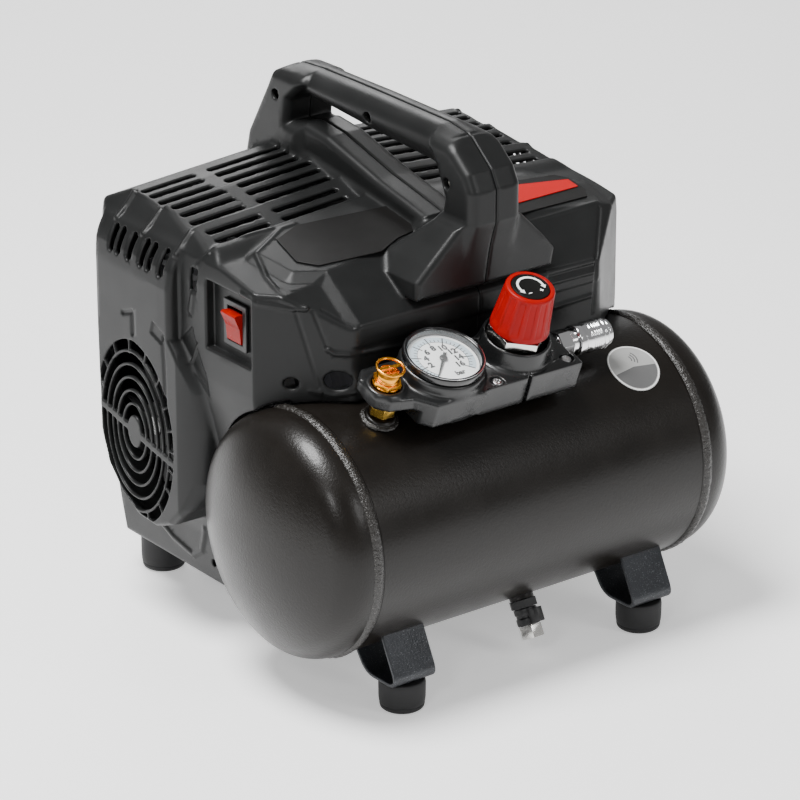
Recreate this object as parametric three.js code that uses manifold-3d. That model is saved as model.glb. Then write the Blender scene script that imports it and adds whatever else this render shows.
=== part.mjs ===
import * as THREE from "three";
import Module from "manifold-3d";

const wasm = await Module();
wasm.setup();

// Portable oil-free air compressor, millimetres, +Z up, floor at Z = 0.
// X runs along the tank, +Y points to the back; the tank is at the front.

// tank
const TANK_R = 80;
const TANK_WALL = 3;
const TANK_Y = 56;
const TANK_Z = 109;
const SHELL_HALF = 127;
const SKIRT = 9;
const DOME_DEPTH = 38.3;
const KNUCKLE_R = 24.3;
const BEAD_R = 81.9;
const TANK_SEGS = 40;
// feet and brackets
const FOOT_X = 96;
const FOOT_R = 15;
const REAR_FOOT_Y = 264;
const STRIP_W = 32;
const STRIP_T = 2.5;
const PLATE_Z = 20.4;
const BASE_Z = 27;
// housing
const WALL = 2.6;
const SIDE_X = 147;
const COWL_X = 157;
const FRONT_Y = 45;
const BACK_Y = 280;
const HOUSING_Z = 27;
const CROWN = 0.07;
const SADDLE_R = 83;
const SEAM = 0.15;
// fan guard
const FAN_Y = 208.5;
const FAN_Z = 130;
const GUARD_STEP = 8.9;
const GUARD_SLOT = 6.8;
const GUARD_HUB_R = 11.1;
const GUARD_SQUASH = 0.72;
// handle
const POST_HALF = 20;
const GRIP_HALF = 14;
const HANDLE_TOP = 345;
// control block on the tank shoulder, tilted forward
const TILT = THREE.MathUtils.degToRad(20);
const BLOCK_LOW = 8;
const BLOCK_TOP = 27;
const GAUGE_X = -52;
const KNOB_X = 5;
const VALVE_X = -94;
const PORT_H = 19;
// drain
const DRAIN_X = 13;
const DRAIN_TILT = THREE.MathUtils.degToRad(28);
// pump
const PUMP_X = 84;
const ECC = 6;
const ROD_LEN = 62;
const FAN_TIP_R = 39;
const GAP = 0.3;
// mains switch
const SWITCH_Y = 111.6;
const SWITCH_Z = 231.5;
const ROCKER_PIVOT_X = -138.5;
const ROCKER_TILT = THREE.MathUtils.degToRad(-8);
// the origin is moved to the middle of the footprint
const SHIFT_Y = (TANK_Y - BEAD_R + BACK_Y) / 2;

const group = new THREE.Group();
group.name = "air_compressor";

const MAT = {
  tank_paint: [0x2b2927, 0.42, 0.3],
  weld: [0x3a3835, 0.6, 0.4],
  bracket_paint: [0x2e3033, 0.6, 0.4],
  rubber: [0x1b1b1b, 0.85, 0.0],
  housing: [0x3c3d3c, 0.6, 0.0],
  inlay: [0x1f1e1d, 0.5, 0.0],
  label_red: [0xd8181a, 0.4, 0.0],
  label_silver: [0xb9bcbc, 0.35, 0.5],
  steel: [0x9a9c9e, 0.35, 0.9],
  zinc: [0x8a8c8e, 0.4, 0.8],
  aluminium: [0xb4b6b8, 0.4, 0.8],
  copper: [0xb06a3c, 0.35, 0.9],
  lamination: [0x55585a, 0.5, 0.7],
  nylon: [0x26282a, 0.55, 0.0],
  chrome: [0xd6d8da, 0.12, 1.0],
  brass: [0xd08a1e, 0.3, 0.8],
  knob_red: [0xd3150f, 0.35, 0.0],
  rocker_red: [0xe03a1c, 0.25, 0.0],
  dial_white: [0xe8edf2, 0.5, 0.0],
  needle_black: [0x151515, 0.4, 0.0],
  lens: [0xe6f0f4, 0.05, 0.0],
};

function solid(geometry) {
  let g = geometry.clone();
  g.deleteAttribute("normal");
  g.deleteAttribute("uv");
  g = mergeByPosition(g);
  return new wasm.Manifold(new wasm.Mesh({
    numProp: 3,
    vertProperties: new Float32Array(g.attributes.position.array),
    triVerts: new Uint32Array(g.index.array),
  }));
}

function mergeByPosition(g) {
  const pos = g.attributes.position;
  const idx = g.index ? Array.from(g.index.array) : [...Array(pos.count).keys()];
  const seen = new Map();
  const out = [];
  const remap = [];
  for (let i = 0; i < pos.count; i += 1) {
    const key = [pos.getX(i), pos.getY(i), pos.getZ(i)].map((v) => Math.round(v * 1e4)).join(",");
    if (!seen.has(key)) {
      seen.set(key, out.length / 3);
      out.push(pos.getX(i), pos.getY(i), pos.getZ(i));
    }
    remap.push(seen.get(key));
  }
  const tris = [];
  for (let i = 0; i < idx.length; i += 3) {
    const [a, b, c] = [remap[idx[i]], remap[idx[i + 1]], remap[idx[i + 2]]];
    if (a !== b && b !== c && a !== c) {
      tris.push(a, b, c);
    }
  }
  const r = new THREE.BufferGeometry();
  r.setAttribute("position", new THREE.Float32BufferAttribute(out, 3));
  r.setIndex(tris);
  return r;
}

function toGeometry(m) {
  const mesh = m.getMesh();
  const g = new THREE.BufferGeometry();
  const n = mesh.numProp;
  const out = [];
  for (let i = 0; i < mesh.vertProperties.length / n; i += 1) {
    out.push(mesh.vertProperties[i * n], mesh.vertProperties[i * n + 1], mesh.vertProperties[i * n + 2]);
  }
  g.setAttribute("position", new THREE.Float32BufferAttribute(out, 3));
  g.setIndex(Array.from(mesh.triVerts));
  return g;
}

function add(name, slot, shape) {
  const g = shape instanceof THREE.BufferGeometry ? toGeometry(solid(shape)) : toGeometry(shape);
  g.translate(0, -SHIFT_Y, 0);
  g.computeVertexNormals();
  const [color, roughness, metalness] = MAT[slot];
  const material = new THREE.MeshStandardMaterial({ color, roughness, metalness });
  material.name = slot;
  if (slot === "lens") {
    material.transparent = true;
    material.opacity = 0.35;
  }
  const mesh = new THREE.Mesh(g, material);
  mesh.name = name;
  group.add(mesh);
}

const poly = (pts) => new THREE.Shape(pts.map(([a, b]) => new THREE.Vector2(a, b)));
const V = (x, y, z) => new THREE.Vector3(x, y, z);

function prism(shape, depth, basis, origin, options = {}) {
  const g = new THREE.ExtrudeGeometry(shape, { depth, bevelEnabled: false, curveSegments: 12, ...options });
  const m = new THREE.Matrix4().makeBasis(...basis);
  m.setPosition(origin);
  g.applyMatrix4(m);
  return g;
}

// side outline (Y, Z) pushed along X
function alongX(pts, x0, x1, options) {
  const shape = pts instanceof THREE.Shape ? pts : poly(pts);
  return prism(shape, x1 - x0, [V(0, 1, 0), V(0, 0, 1), V(1, 0, 0)], V(x0, 0, 0), options);
}

// front outline (X, Z) pushed along Y
function alongY(pts, y0, y1) {
  const shape = pts instanceof THREE.Shape ? pts : poly(pts);
  return prism(shape, y1 - y0, [V(1, 0, 0), V(0, 0, 1), V(0, -1, 0)], V(0, y1, 0));
}

// plan outline (X, Y) pushed along Z
function alongZ(pts, z0, z1) {
  const shape = pts instanceof THREE.Shape ? pts : poly(pts);
  return prism(shape, z1 - z0, [V(1, 0, 0), V(0, 1, 0), V(0, 0, 1)], V(0, 0, z0));
}

function box(x0, x1, y0, y1, z0, z1) {
  return alongZ([[x0, y0], [x1, y0], [x1, y1], [x0, y1]], z0, z1);
}

// closed profile (radius, height) revolved about +Z
function turned(pts, segs = 24) {
  const g = new THREE.LatheGeometry(pts.map(([r, h]) => new THREE.Vector2(r, h)), segs);
  g.rotateX(Math.PI / 2);
  return g;
}

// closed profile revolved about +X, height measured along +X
function turnedX(pts, segs = 24) {
  const g = turned(pts, segs);
  g.rotateY(Math.PI / 2);
  return g;
}

const close = (pts) => [...pts, pts[0]];

function disc(r, h0, h1, segs = 24) {
  return turned([[0, h0], [r, h0], [r, h1], [0, h1]], segs);
}

function ring(rIn, rOut, h0, h1, segs = 24) {
  return turned(close([[rIn, h0], [rOut, h0], [rOut, h1], [rIn, h1]]), segs);
}

function regular(n, r, turn = 0) {
  return Array.from({ length: n }, (_, i) => {
    const a = turn + (i * 2 * Math.PI) / n;
    return [r * Math.cos(a), r * Math.sin(a)];
  });
}

const hex = (r, h0, h1) => alongZ(regular(6, r), h0, h1);
const cut = (a, ...tools) => tools.reduce((s, t) => s.subtract(asSolid(t)), asSolid(a));
const join = (a, ...more) => more.reduce((s, t) => s.add(asSolid(t)), asSolid(a));
const meet = (a, ...more) => more.reduce((s, t) => s.intersect(asSolid(t)), asSolid(a));
const asSolid = (s) => (s instanceof THREE.BufferGeometry ? solid(s) : s);

function moved(shape, ...matrices) {
  const g = shape instanceof THREE.BufferGeometry ? shape.clone() : toGeometry(shape);
  matrices.forEach((m) => g.applyMatrix4(m));
  return g;
}

const shift = (x, y, z) => new THREE.Matrix4().makeTranslation(x, y, z);
const turnX = (a) => new THREE.Matrix4().makeRotationX(a);
const turnZ = (a) => new THREE.Matrix4().makeRotationZ(a);

function mirrored(shape) {
  const g = shape instanceof THREE.BufferGeometry ? shape.clone() : toGeometry(shape);
  const p = g.attributes.position;
  for (let i = 0; i < p.count; i += 1) {
    p.setX(i, -p.getX(i));
  }
  const index = g.index ? Array.from(g.index.array) : [...Array(p.count).keys()];
  for (let i = 0; i < index.length; i += 3) {
    [index[i], index[i + 1]] = [index[i + 1], index[i]];
  }
  g.setIndex(index);
  return g;
}

// moves every edge of a counter-clockwise outline inwards by d
function inset(pts, d) {
  const n = pts.length;
  return pts.map((p, i) => {
    const a = new THREE.Vector2(...pts[(i + n - 1) % n]);
    const b = new THREE.Vector2(...p);
    const c = new THREE.Vector2(...pts[(i + 1) % n]);
    const u = b.clone().sub(a).normalize();
    const v = c.clone().sub(b).normalize();
    const m = new THREE.Vector2(-u.y - v.y, u.x + v.x);
    const s = d / (1 + u.dot(v));
    return [b.x + m.x * s, b.y + m.y * s];
  });
}

// bent strip of thickness t along a (Y, Z) centre line
function strip(points, t) {
  const side = (s) => points.map((p, i) => {
    const a = new THREE.Vector2(...points[Math.max(i - 1, 0)]);
    const b = new THREE.Vector2(...points[Math.min(i + 1, points.length - 1)]);
    const d = b.sub(a).normalize();
    return [p[0] - d.y * s * t * 0.5, p[1] + d.x * s * t * 0.5];
  });
  return [...side(-1), ...side(1).reverse()];
}

const atTank = shift(0, TANK_Y, TANK_Z);
const ringX = (rIn, rOut, x0, x1) => moved(
  turnedX(close([[rIn, x0], [rOut, x0], [rOut, x1], [rIn, x1]]), TANK_SEGS), atTank);

// ---- tank ----
const onShoulder = (m) => moved(m, shift(0, 0, TANK_R), turnX(TILT), atTank);
const onDrain = (m) => moved(m, turnX(Math.PI), shift(DRAIN_X, 0, -TANK_R), turnX(-DRAIN_TILT), atTank);

let shell = asSolid(ringX(TANK_R - TANK_WALL, TANK_R, -SHELL_HALF, SHELL_HALF));
shell = cut(
  shell,
  onShoulder(moved(disc(10.3, -12, 6, 20), shift(VALVE_X + 2, 0, 0))),
  onDrain(disc(8.3, -12, 6, 20)),
);
add("tank_shell", "tank_paint", shell);

function domeLine(inner, knuckleSteps, crownSteps) {
  const r = TANK_R - inner;
  const kr = KNUCKLE_R - inner;
  const h = DOME_DEPTH - inner;
  const c = r - kr;
  const crown = (h * h + c * c - kr * kr) / (2 * (h - kr));
  const a1 = Math.atan2(c, crown - h);
  const pts = [[r, 0]];
  for (let i = 0; i <= knuckleSteps; i += 1) {
    const a = ((Math.PI / 2 - a1) * i) / knuckleSteps;
    pts.push([c + kr * Math.cos(a), SKIRT + kr * Math.sin(a)]);
  }
  for (let i = 1; i <= crownSteps; i += 1) {
    const a = a1 * (1 - i / crownSteps);
    pts.push([crown * Math.sin(a), SKIRT + h - crown + crown * Math.cos(a)]);
  }
  return pts;
}
const domeProfile = [...domeLine(0, 3, 2), ...domeLine(TANK_WALL, 1, 1).reverse()];
const dome = moved(turnedX(close(domeProfile), TANK_SEGS), shift(SHELL_HALF + GAP, 0, 0), atTank);
add("tank_end_right", "tank_paint", dome);
add("tank_end_left", "tank_paint", mirrored(dome));

const beadProfile = [[TANK_R + GAP, 0.6], [BEAD_R - 0.4, 1], [BEAD_R, 4.5], [BEAD_R - 0.4, 8],
  [TANK_R + GAP, 8.4]];
const bead = moved(turnedX(close(beadProfile), TANK_SEGS), shift(SHELL_HALF, 0, 0), atTank);
add("weld_bead_right", "weld", bead);
add("weld_bead_left", "weld", mirrored(bead));

add("outlet_boss", "tank_paint", onShoulder(moved(
  turned(close([[5, -5], [10, -5], [10, 2.5], [8.5, 4], [5, 4]]), 20), shift(VALVE_X + 2, 0, 0))));
add("drain_boss", "tank_paint", onDrain(turned(close([[3, -5], [8, -5], [8, 2.5], [3, 2.5]]), 20)));

const labelRing = ringX(TANK_R + GAP, TANK_R + GAP + 0.4, 60, 127);
const labelAt = (m) => moved(m, shift(99, 0, 0), turnX(THREE.MathUtils.degToRad(32)), atTank);
add("noise_label", "label_silver", meet(labelRing, labelAt(disc(16.5, 60, 100, 32))));

// ---- feet, brackets and base frame ----
const bracketLine = [[2, 56], [-13.4, 26], [-14.6, 23.4], [-13.4, PLATE_Z + 1.3], [-11, PLATE_Z + 1.25],
  [14, PLATE_Z + 1.25], [17, PLATE_Z + 2.4], [28, 36]];
const tankClear = moved(turnedX([[0, -180], [TANK_R + GAP, -180], [TANK_R + GAP, 180], [0, 180]],
  TANK_SEGS), atTank);
const boltHole = (x, y) => moved(disc(3.3, 0, 40, 16), shift(x, y, 0));
const bracket = cut(alongX(strip(bracketLine, STRIP_T), FOOT_X - STRIP_W / 2, FOOT_X + STRIP_W / 2),
  tankClear, boltHole(FOOT_X, 0));
add("foot_bracket_right", "bracket_paint", bracket);
add("foot_bracket_left", "bracket_paint", mirrored(bracket));

function foot(height) {
  return turned(close([[3.3, 6], [7.5, 6], [7.5, 0], [FOOT_R - 2.4, 0], [FOOT_R - 0.4, 2.4],
    [FOOT_R, height], [3.3, height]]), 24);
}
[["left", -1], ["right", 1]].forEach(([side, s]) => {
  const front = shift(s * FOOT_X, 0, 0);
  const rear = shift(s * FOOT_X, REAR_FOOT_Y, 0);
  add(`foot_front_${side}`, "rubber", moved(foot(PLATE_Z - 0.3), front));
  add(`foot_rear_${side}`, "rubber", moved(foot(BASE_Z - 0.3), rear));
});

const baseLine = [[275, 44], [275, BASE_Z + 1.25], [124, BASE_Z + 1.25], [110, 62]];
add("base_frame", "bracket_paint", cut(alongX(strip(baseLine, STRIP_T), -108, 108), tankClear,
  boltHole(-FOOT_X, REAR_FOOT_Y), boltHole(FOOT_X, REAR_FOOT_Y)));

// ---- housing ----
const sideLine = [[FRONT_Y + 1.5, 186], [FRONT_Y + 1.5, 150], [118, 60], [128, HOUSING_Z],
  [BACK_Y - 4, HOUSING_Z], [BACK_Y, 60], [BACK_Y, 300], [84, 300], [84, 281], [FRONT_Y, 249],
  [FRONT_Y, 227], [FRONT_Y + 1.5, 225]];
const roofLine = [[0, 0], [300, 0], [300, 220], [279, 256], [262, 281], [242, 290], [225, 291], [200, 290],
  [160, 285], [120, 279.5], [80, 273], [0, 259]];
const planLine = [[-95, FRONT_Y], [95, FRONT_Y], [145, 88], [SIDE_X, 150], [SIDE_X, 252], [122, BACK_Y],
  [-122, BACK_Y], [-SIDE_X, 252], [-SIDE_X, 150], [-145, 88]];
const frontHalf = [[118, HOUSING_Z], [121, 60], [SIDE_X, 190], [SIDE_X, 250], [143, 265], [131, 279],
  [131, 300]];
const frontLine = [...frontHalf, ...frontHalf.map(([x, z]) => [-x, z]).reverse()];
const cowlEnd = [[147, 112], [154, 92], [168, 78], [186, 70.5], [206, 71], [226, 80], [243, 96],
  [252, 118], [254, 200], [254, 268], [165, 268], [165, 212], [147, 196]];
const cowlHalf = [[100, 60], [COWL_X - 8, 60], [COWL_X, 72], [COWL_X, 240], [153.5, 252], [143.5, 266.5],
  [131, 280], [100, 284]];

function roof(drop) {
  const line = roofLine.map(([y, z]) => [y, z - drop]);
  const half = (x0, x1, k) => {
    const shear = new THREE.Matrix4().makeShear(0, k, 0, 0, 0, 0);
    return moved(alongX(line, x0, x1), shear);
  };
  return join(half(0, 170, -CROWN), half(-170, 0, CROWN));
}

function cowl(d) {
  const block = alongX(inset(cowlEnd, d), 100, COWL_X - d);
  const sides = alongY(inset(cowlHalf, d), 100, 270);
  const plan = alongZ(inset([[90, 100], [COWL_X, 143], [COWL_X, 175], [153, 262], [90, 290]], d), 0, 400);
  return meet(block, sides, plan);
}

function body(d) {
  const low = d > 0 ? 30 : 0;
  const plan = inset(planLine, d);
  const side = inset(sideLine, d).map(([y, z]) => [y, z < 40 ? z - low : z]);
  const front = inset(frontLine, d).map(([x, z]) => [x, z < 40 ? z - low : z]);
  let s = meet(alongX(side, -170, 170), alongZ(plan, -20, 400), alongY(front, 0, 400));
  const c = cowl(d);
  s = join(s, c, mirrored(c));
  return meet(s, roof(d));
}

const spineLine = [[84, 262], [BACK_Y - 30, 262], [BACK_Y - 30, 284], [238, 300], [212, 309], [188, 306.5],
  [135, 293], [104, 287], [84, 283]];
const gripLine = [[60, 316], [84, 318.5], [150, 321.5], [214, 326], [232, 328], [232, 342], [209, 344],
  [150, HANDLE_TOP], [78, HANDLE_TOP], [60, 342]];
const rearPost = [[210, 270], [BACK_Y - 3, 262], [270, 290], [249, 326], [243, 337], [236, 341.5], [209, 344],
  [208, 336], [224, 322], [226, 306], [214, 304], [211, 290]];
const frontPost = [[FRONT_Y + 1, 245], [92, 262], [92, 276], [73, 283], [62, 295], [60, 304], [68, 321],
  [77, 333], [78, HANDLE_TOP], [56, 341], [36, 325], [30, 314], [30, 292], [39, 268]];
const gusset = [[-54, 247], [54, 247], [55, 260], [46, 270], [20, 296], [-20, 296], [-46, 270], [-55, 260]];

function handle(d) {
  const w = POST_HALF - d;
  const g = GRIP_HALF - d;
  const edge = (n) => ({
    bevelEnabled: true, bevelThickness: 5, bevelSize: 4, bevelOffset: -4, bevelSegments: n,
  });
  const slab = (line, half, n) => (d > 0 ? alongX(inset(line, d), -half, half)
    : alongX(line, 5 - half, half - 5, edge(n)));
  const spine = slab(spineLine, w, 1);
  const grip = slab(gripLine, g, 2);
  const rear = slab(rearPost, w, 1);
  const front = slab(frontPost, w, 1);
  const skirt = meet(alongY(inset(gusset, d), 30, 110), alongX(inset([[FRONT_Y - 4, 246], [100, 246],
    [100, 270], [62, 292], [36, 292], [38, 268]], d), -60, 60));
  return join(spine, grip, rear, front, skirt);
}

const pocket = [86, 132, 212, 254];
const saddle = moved(turnedX([[0, -180], [SADDLE_R, -180], [SADDLE_R, 180], [0, 180]], TANK_SEGS), atTank);
const pocketCut = box(-170, -139, ...pocket);
const pocketWall = box(-170, -139 + WALL, pocket[0] - WALL, pocket[1] + WALL, pocket[2] - WALL,
  pocket[3] + WALL);
const cavity = join(cut(body(WALL), pocketWall), handle(3));
let housing = cut(join(body(0), handle(0)), cavity, saddle, pocketCut,
  box(-150, -130, SWITCH_Y - 10, SWITCH_Y + 10, SWITCH_Z - 13, SWITCH_Z + 13));

// roof louvres: short outer slots, a cross band, long inner slots
const slotRows = [232, 222.5, 212.5, 198, 188, 177.5, 160, 150];
function louvres() {
  const cuts = [];
  slotRows.forEach((y, i) => {
    const innerEnd = i < 6 ? 25 : 32;
    cuts.push(box(87, 128, y - 2.2, y + 2.2, 255, 300));
    cuts.push(box(innerEnd, 77, y - 2.2, y + 2.2, 255, 300));
  });
  [234, 226, 213.5, 199, 190.5, 177].forEach((y) => {
    cuts.push(box(138, 170, y - 2, y + 2, 247, 261));
  });
  return cuts.map(asSolid).reduce((a, b) => a.add(b));
}

// concentric guard slots left standing between radial ribs
function guard() {
  const circle = (r, n) => regular(n, r).map(([a, b]) => [a * GUARD_SQUASH + FAN_Y, b + FAN_Z]);
  let slots = null;
  for (let i = 0; i < 6; i += 1) {
    const r0 = GUARD_HUB_R + i * GUARD_STEP;
    const sides = 12 + 2 * i;
    const shape = poly(circle(r0 + GUARD_SLOT, sides));
    shape.holes.push(new THREE.Path(circle(r0, sides).map((p) => new THREE.Vector2(...p))));
    const s = asSolid(alongX(shape, COWL_X - 10, COWL_X + 5));
    slots = slots ? slots.add(s) : s;
  }
  const spoke = (a, w) => moved(box(COWL_X - 12, COWL_X + 6, 0, 70, -w / 2, w / 2),
    turnX(a), shift(0, FAN_Y, FAN_Z));
  const ribs = [[0.18, 5], [Math.PI + 0.18, 5], [1.2, 1.8], [2.3, 1.8], [3.9, 1.8], [4.5, 1.8]];
  const trimmed = ribs.reduce((s, [a, w]) => s.subtract(asSolid(spoke(a, w))), slots);
  return meet(trimmed, alongX(inset(cowlEnd, 4.5), 100, 170));
}
const vents = join(louvres(), guard());
housing = cut(housing, vents, mirrored(vents));

// screw wells on the left face of the seam
const wells = [[237, 323, -POST_HALF], [144, 331.5, -GRIP_HALF], [56, 314, -POST_HALF]];
const wellCut = wells.map(([y, z, x]) => moved(turnedX([[0, -6], [3.6, -6], [3.6, 4], [0, 4]], 14),
  shift(x + 3, y, z)));
housing = cut(housing, ...wellCut);

const leftHalf = box(-200, -SEAM, -50, 350, -50, 400);
const rightHalf = box(SEAM, 200, -50, 350, -50, 400);
const biggest = (m) => m.decompose().sort((a, b) => b.volume() - a.volume())[0];
add("housing_left", "housing", biggest(meet(housing, leftHalf)));
add("housing_right", "housing", biggest(meet(housing, rightHalf)));

// ---- trim plates on the front slope ----
const skin = (lo, hi) => cut(roof(-hi), roof(-lo));
const inlayLeft = [[-99, 82], [-88, 76], [-56, 76], [-48, 96], [-30, 101], [-24, 107], [-38, 116], [-92, 118],
  [-108, 98]];
add("inlay_left", "inlay", meet(skin(0.3, 0.9), alongZ(inlayLeft, 200, 330)));
const inlayRight = [[56, 79], [108, 79], [116, 88], [60, 124], [29, 120], [29, 101], [48, 96]];
add("inlay_right", "inlay", meet(skin(0.3, 0.9), alongZ(inlayRight, 200, 330)));
const labelRed = [[51, 92], [98, 92], [108, 102], [66, 112], [31, 112], [31, 102], [49, 97]];
add("label_red", "label_red", meet(skin(1.2, 1.6), alongZ(labelRed, 200, 330)));

wells.forEach(([y, z, x], i) => {
  const screw = turnedX([[0, -3.4], [3.2, -3.4], [3.2, -1], [1.6, -0.4], [1.6, 10], [0, 10]], 12);
  const name = ["handle_screw_rear", "handle_screw_middle", "handle_screw_front"][i];
  add(name, "zinc", moved(screw, shift(x + 6.2, y, z)));
});

// ---- mains switch ----
const bezel = cut(
  join(box(-141.6, -139.3, SWITCH_Y - 12, SWITCH_Y + 12, SWITCH_Z - 15.2, SWITCH_Z + 15.2),
    box(-139.5, -112, SWITCH_Y - 9.6, SWITCH_Y + 9.6, SWITCH_Z - 12.6, SWITCH_Z + 12.6)),
  box(-150, -128, SWITCH_Y - 8, SWITCH_Y + 8, SWITCH_Z - 11.5, SWITCH_Z + 11.5),
);
add("switch_body", "nylon", bezel);
// outline (height, depth) about the rocker's own pivot
const rockerLine = [[-10, -5], [0, -3.5], [10, -5], [10.5, -3], [8, 3], [-8, 3], [-10.5, -3]];
const rocker = moved(alongY(poly(rockerLine.map(([z, x]) => [x, z])), SWITCH_Y - 7.6, SWITCH_Y + 7.6),
  new THREE.Matrix4().makeRotationY(ROCKER_TILT), shift(ROCKER_PIVOT_X, 0, SWITCH_Z));
add("switch_rocker", "rocker_red", rocker);

// ---- pump ----
const atFan = shift(0, FAN_Y, FAN_Z);
const onShaft = (pts, segs = 24) => moved(turnedX(pts, segs), atFan);
add("motor_stator", "lamination", onShaft(close([[29, -48], [44, -48], [44, -32], [53, -32], [53, 32],
  [44, 32], [44, 48], [29, 48]]), 24));

let rotor = asSolid(onShaft([[0, -138], [6, -138], [6, -112], [8, -112], [8, -40], [28.3, -40], [28.3, 40],
  [8, 40], [8, 112], [6, 112], [6, 138], [0, 138]], 20));
const eccentric = (x, s) => moved(turnedX([[0, -6], [14, -6], [14, 6], [0, 6]], 20),
  shift(x, FAN_Y, FAN_Z + s * ECC));
rotor = join(rotor, eccentric(-PUMP_X, 1), eccentric(PUMP_X, -1));
add("motor_rotor", "steel", rotor);

const caseLine = [[-30, -46], [30, -46], [44, -30], [44, 24], [34, 44], [-34, 44], [-44, 24], [-44, -30]]
  .map(([y, z]) => [FAN_Y + y, FAN_Z + z]);
const crankcase = cut(alongX(caseLine, 58, 108),
  onShaft([[0, 64], [37, 64], [37, 120], [0, 120]], 32),
  onShaft([[0, 50], [9, 50], [9, 70], [0, 70]], 20),
  moved(disc(25, 0, 60, 28), shift(PUMP_X, FAN_Y, FAN_Z)));
add("crankcase_right", "aluminium", crankcase);
add("crankcase_left", "aluminium", mirrored(crankcase));

const rail = alongX(strip([[150, BASE_Z + 4.2], [168, BASE_Z + 4.2], [174, 60], [176, FAN_Z - 47.6],
  [230, FAN_Z - 47.6], [232, 60], [238, BASE_Z + 4.2], [256, BASE_Z + 4.2]], 3), 68, 98);
add("pump_bracket_right", "zinc", rail);
add("pump_bracket_left", "zinc", mirrored(rail));

const cylinder = moved(turned(close([[24.4, 0], [33, 0], [33, 4], [28, 4], [28, 14], [32, 14], [32, 18],
  [28, 18], [28, 28], [33, 28], [33, 32], [24.4, 32]]), 20),
  shift(PUMP_X, FAN_Y, FAN_Z + 44.3));
add("cylinder_right", "aluminium", cylinder);
add("cylinder_left", "aluminium", mirrored(cylinder));

const headZ = FAN_Z + 76.6;
const headFins = [-24, -12, 0, 12, 24].map((x) => box(PUMP_X + x - 3, PUMP_X + x + 3, 160, 250, headZ + 12,
  headZ + 30));
const head = cut(box(PUMP_X - 33, PUMP_X + 33, FAN_Y - 33, FAN_Y + 33, headZ, headZ + 24), ...headFins,
  moved(disc(20, -1, 5, 24), shift(PUMP_X, FAN_Y, headZ)));
add("cylinder_head_right", "aluminium", head);
add("cylinder_head_left", "aluminium", mirrored(head));

function piston(x, s) {
  const z = FAN_Z + s * ECC;
  const big = moved(turnedX(close([[14.3, -6], [20, -6], [20, 6], [14.3, 6]]), 24), shift(x, FAN_Y, z));
  const rod = box(x - 4, x + 4, FAN_Y - 7, FAN_Y + 7, z + 18, z + ROD_LEN - 4);
  const crown = moved(disc(17.4, ROD_LEN - 6, ROD_LEN, 28), shift(x, FAN_Y, z));
  return join(big, rod, crown);
}
add("piston_left", "aluminium", piston(-PUMP_X, 1));
add("piston_right", "aluminium", piston(PUMP_X, -1));

function fan() {
  let f = asSolid(onShaft(close([[6.3, 117], [15, 117], [15, 136], [6.3, 136]]), 24));
  const blade = moved(box(-1, 1, 14, FAN_TIP_R, -9, 9), new THREE.Matrix4().makeRotationY(0.7));
  for (let i = 0; i < 7; i += 1) {
    f = f.add(asSolid(moved(blade, turnX((i * 2 * Math.PI) / 7), shift(126.5, FAN_Y, FAN_Z))));
  }
  return f;
}
const fanRight = fan();
add("fan_right", "nylon", fanRight);
add("fan_left", "nylon", mirrored(fanRight));

add("head_link_pipe", "aluminium", moved(turnedX(close([[3, -50.5], [5, -50.5], [5, 50.5], [3, 50.5]]), 16),
  shift(0, FAN_Y, headZ + 7)));
add("motor_capacitor", "nylon", moved(turnedX([[0, -32], [16, -32], [17, -31], [17, 31], [16, 32], [0, 32]],
  24), shift(0, FAN_Y, BASE_Z + 2.5 + 17.6)));

// check valve behind the tank crown and the pipe that feeds it
const VALVE_LEAN = THREE.MathUtils.degToRad(-42);
const checkAt = (m) => moved(m, shift(58, 0, TANK_R), turnX(VALVE_LEAN), atTank);
add("check_valve", "brass", checkAt(join(hex(9, GAP + 0.5, 12), disc(6, 11, 20, 16))));
class FeedPath extends THREE.Curve {
  getPoint(t) {
    const lean = -VALVE_LEAN;
    const a = V(58, TANK_Y + Math.sin(lean) * (TANK_R + 22), TANK_Z + Math.cos(lean) * (TANK_R + 22));
    const b = V(58, a.y + Math.sin(lean) * 10, a.z + Math.cos(lean) * 14);
    const d = V(66, FAN_Y - 33.4, headZ + 7);
    const c = V(66, d.y - 16, d.z);
    return new THREE.CubicBezierCurve3(a, b, c, d).getPoint(t);
  }
}
const pipeShape = poly(regular(10, 4));
pipeShape.holes.push(new THREE.Path(regular(10, 2.6).map((p) => new THREE.Vector2(...p))));
add("delivery_pipe", "copper", new THREE.ExtrudeGeometry(pipeShape, {
  steps: 10, bevelEnabled: false, extrudePath: new FeedPath(),
}));
add("pressure_switch", "nylon", join(box(-40, 2, 86, 128, 200, 244), box(-24, -14, 100, 112, 188, 201)));

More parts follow.
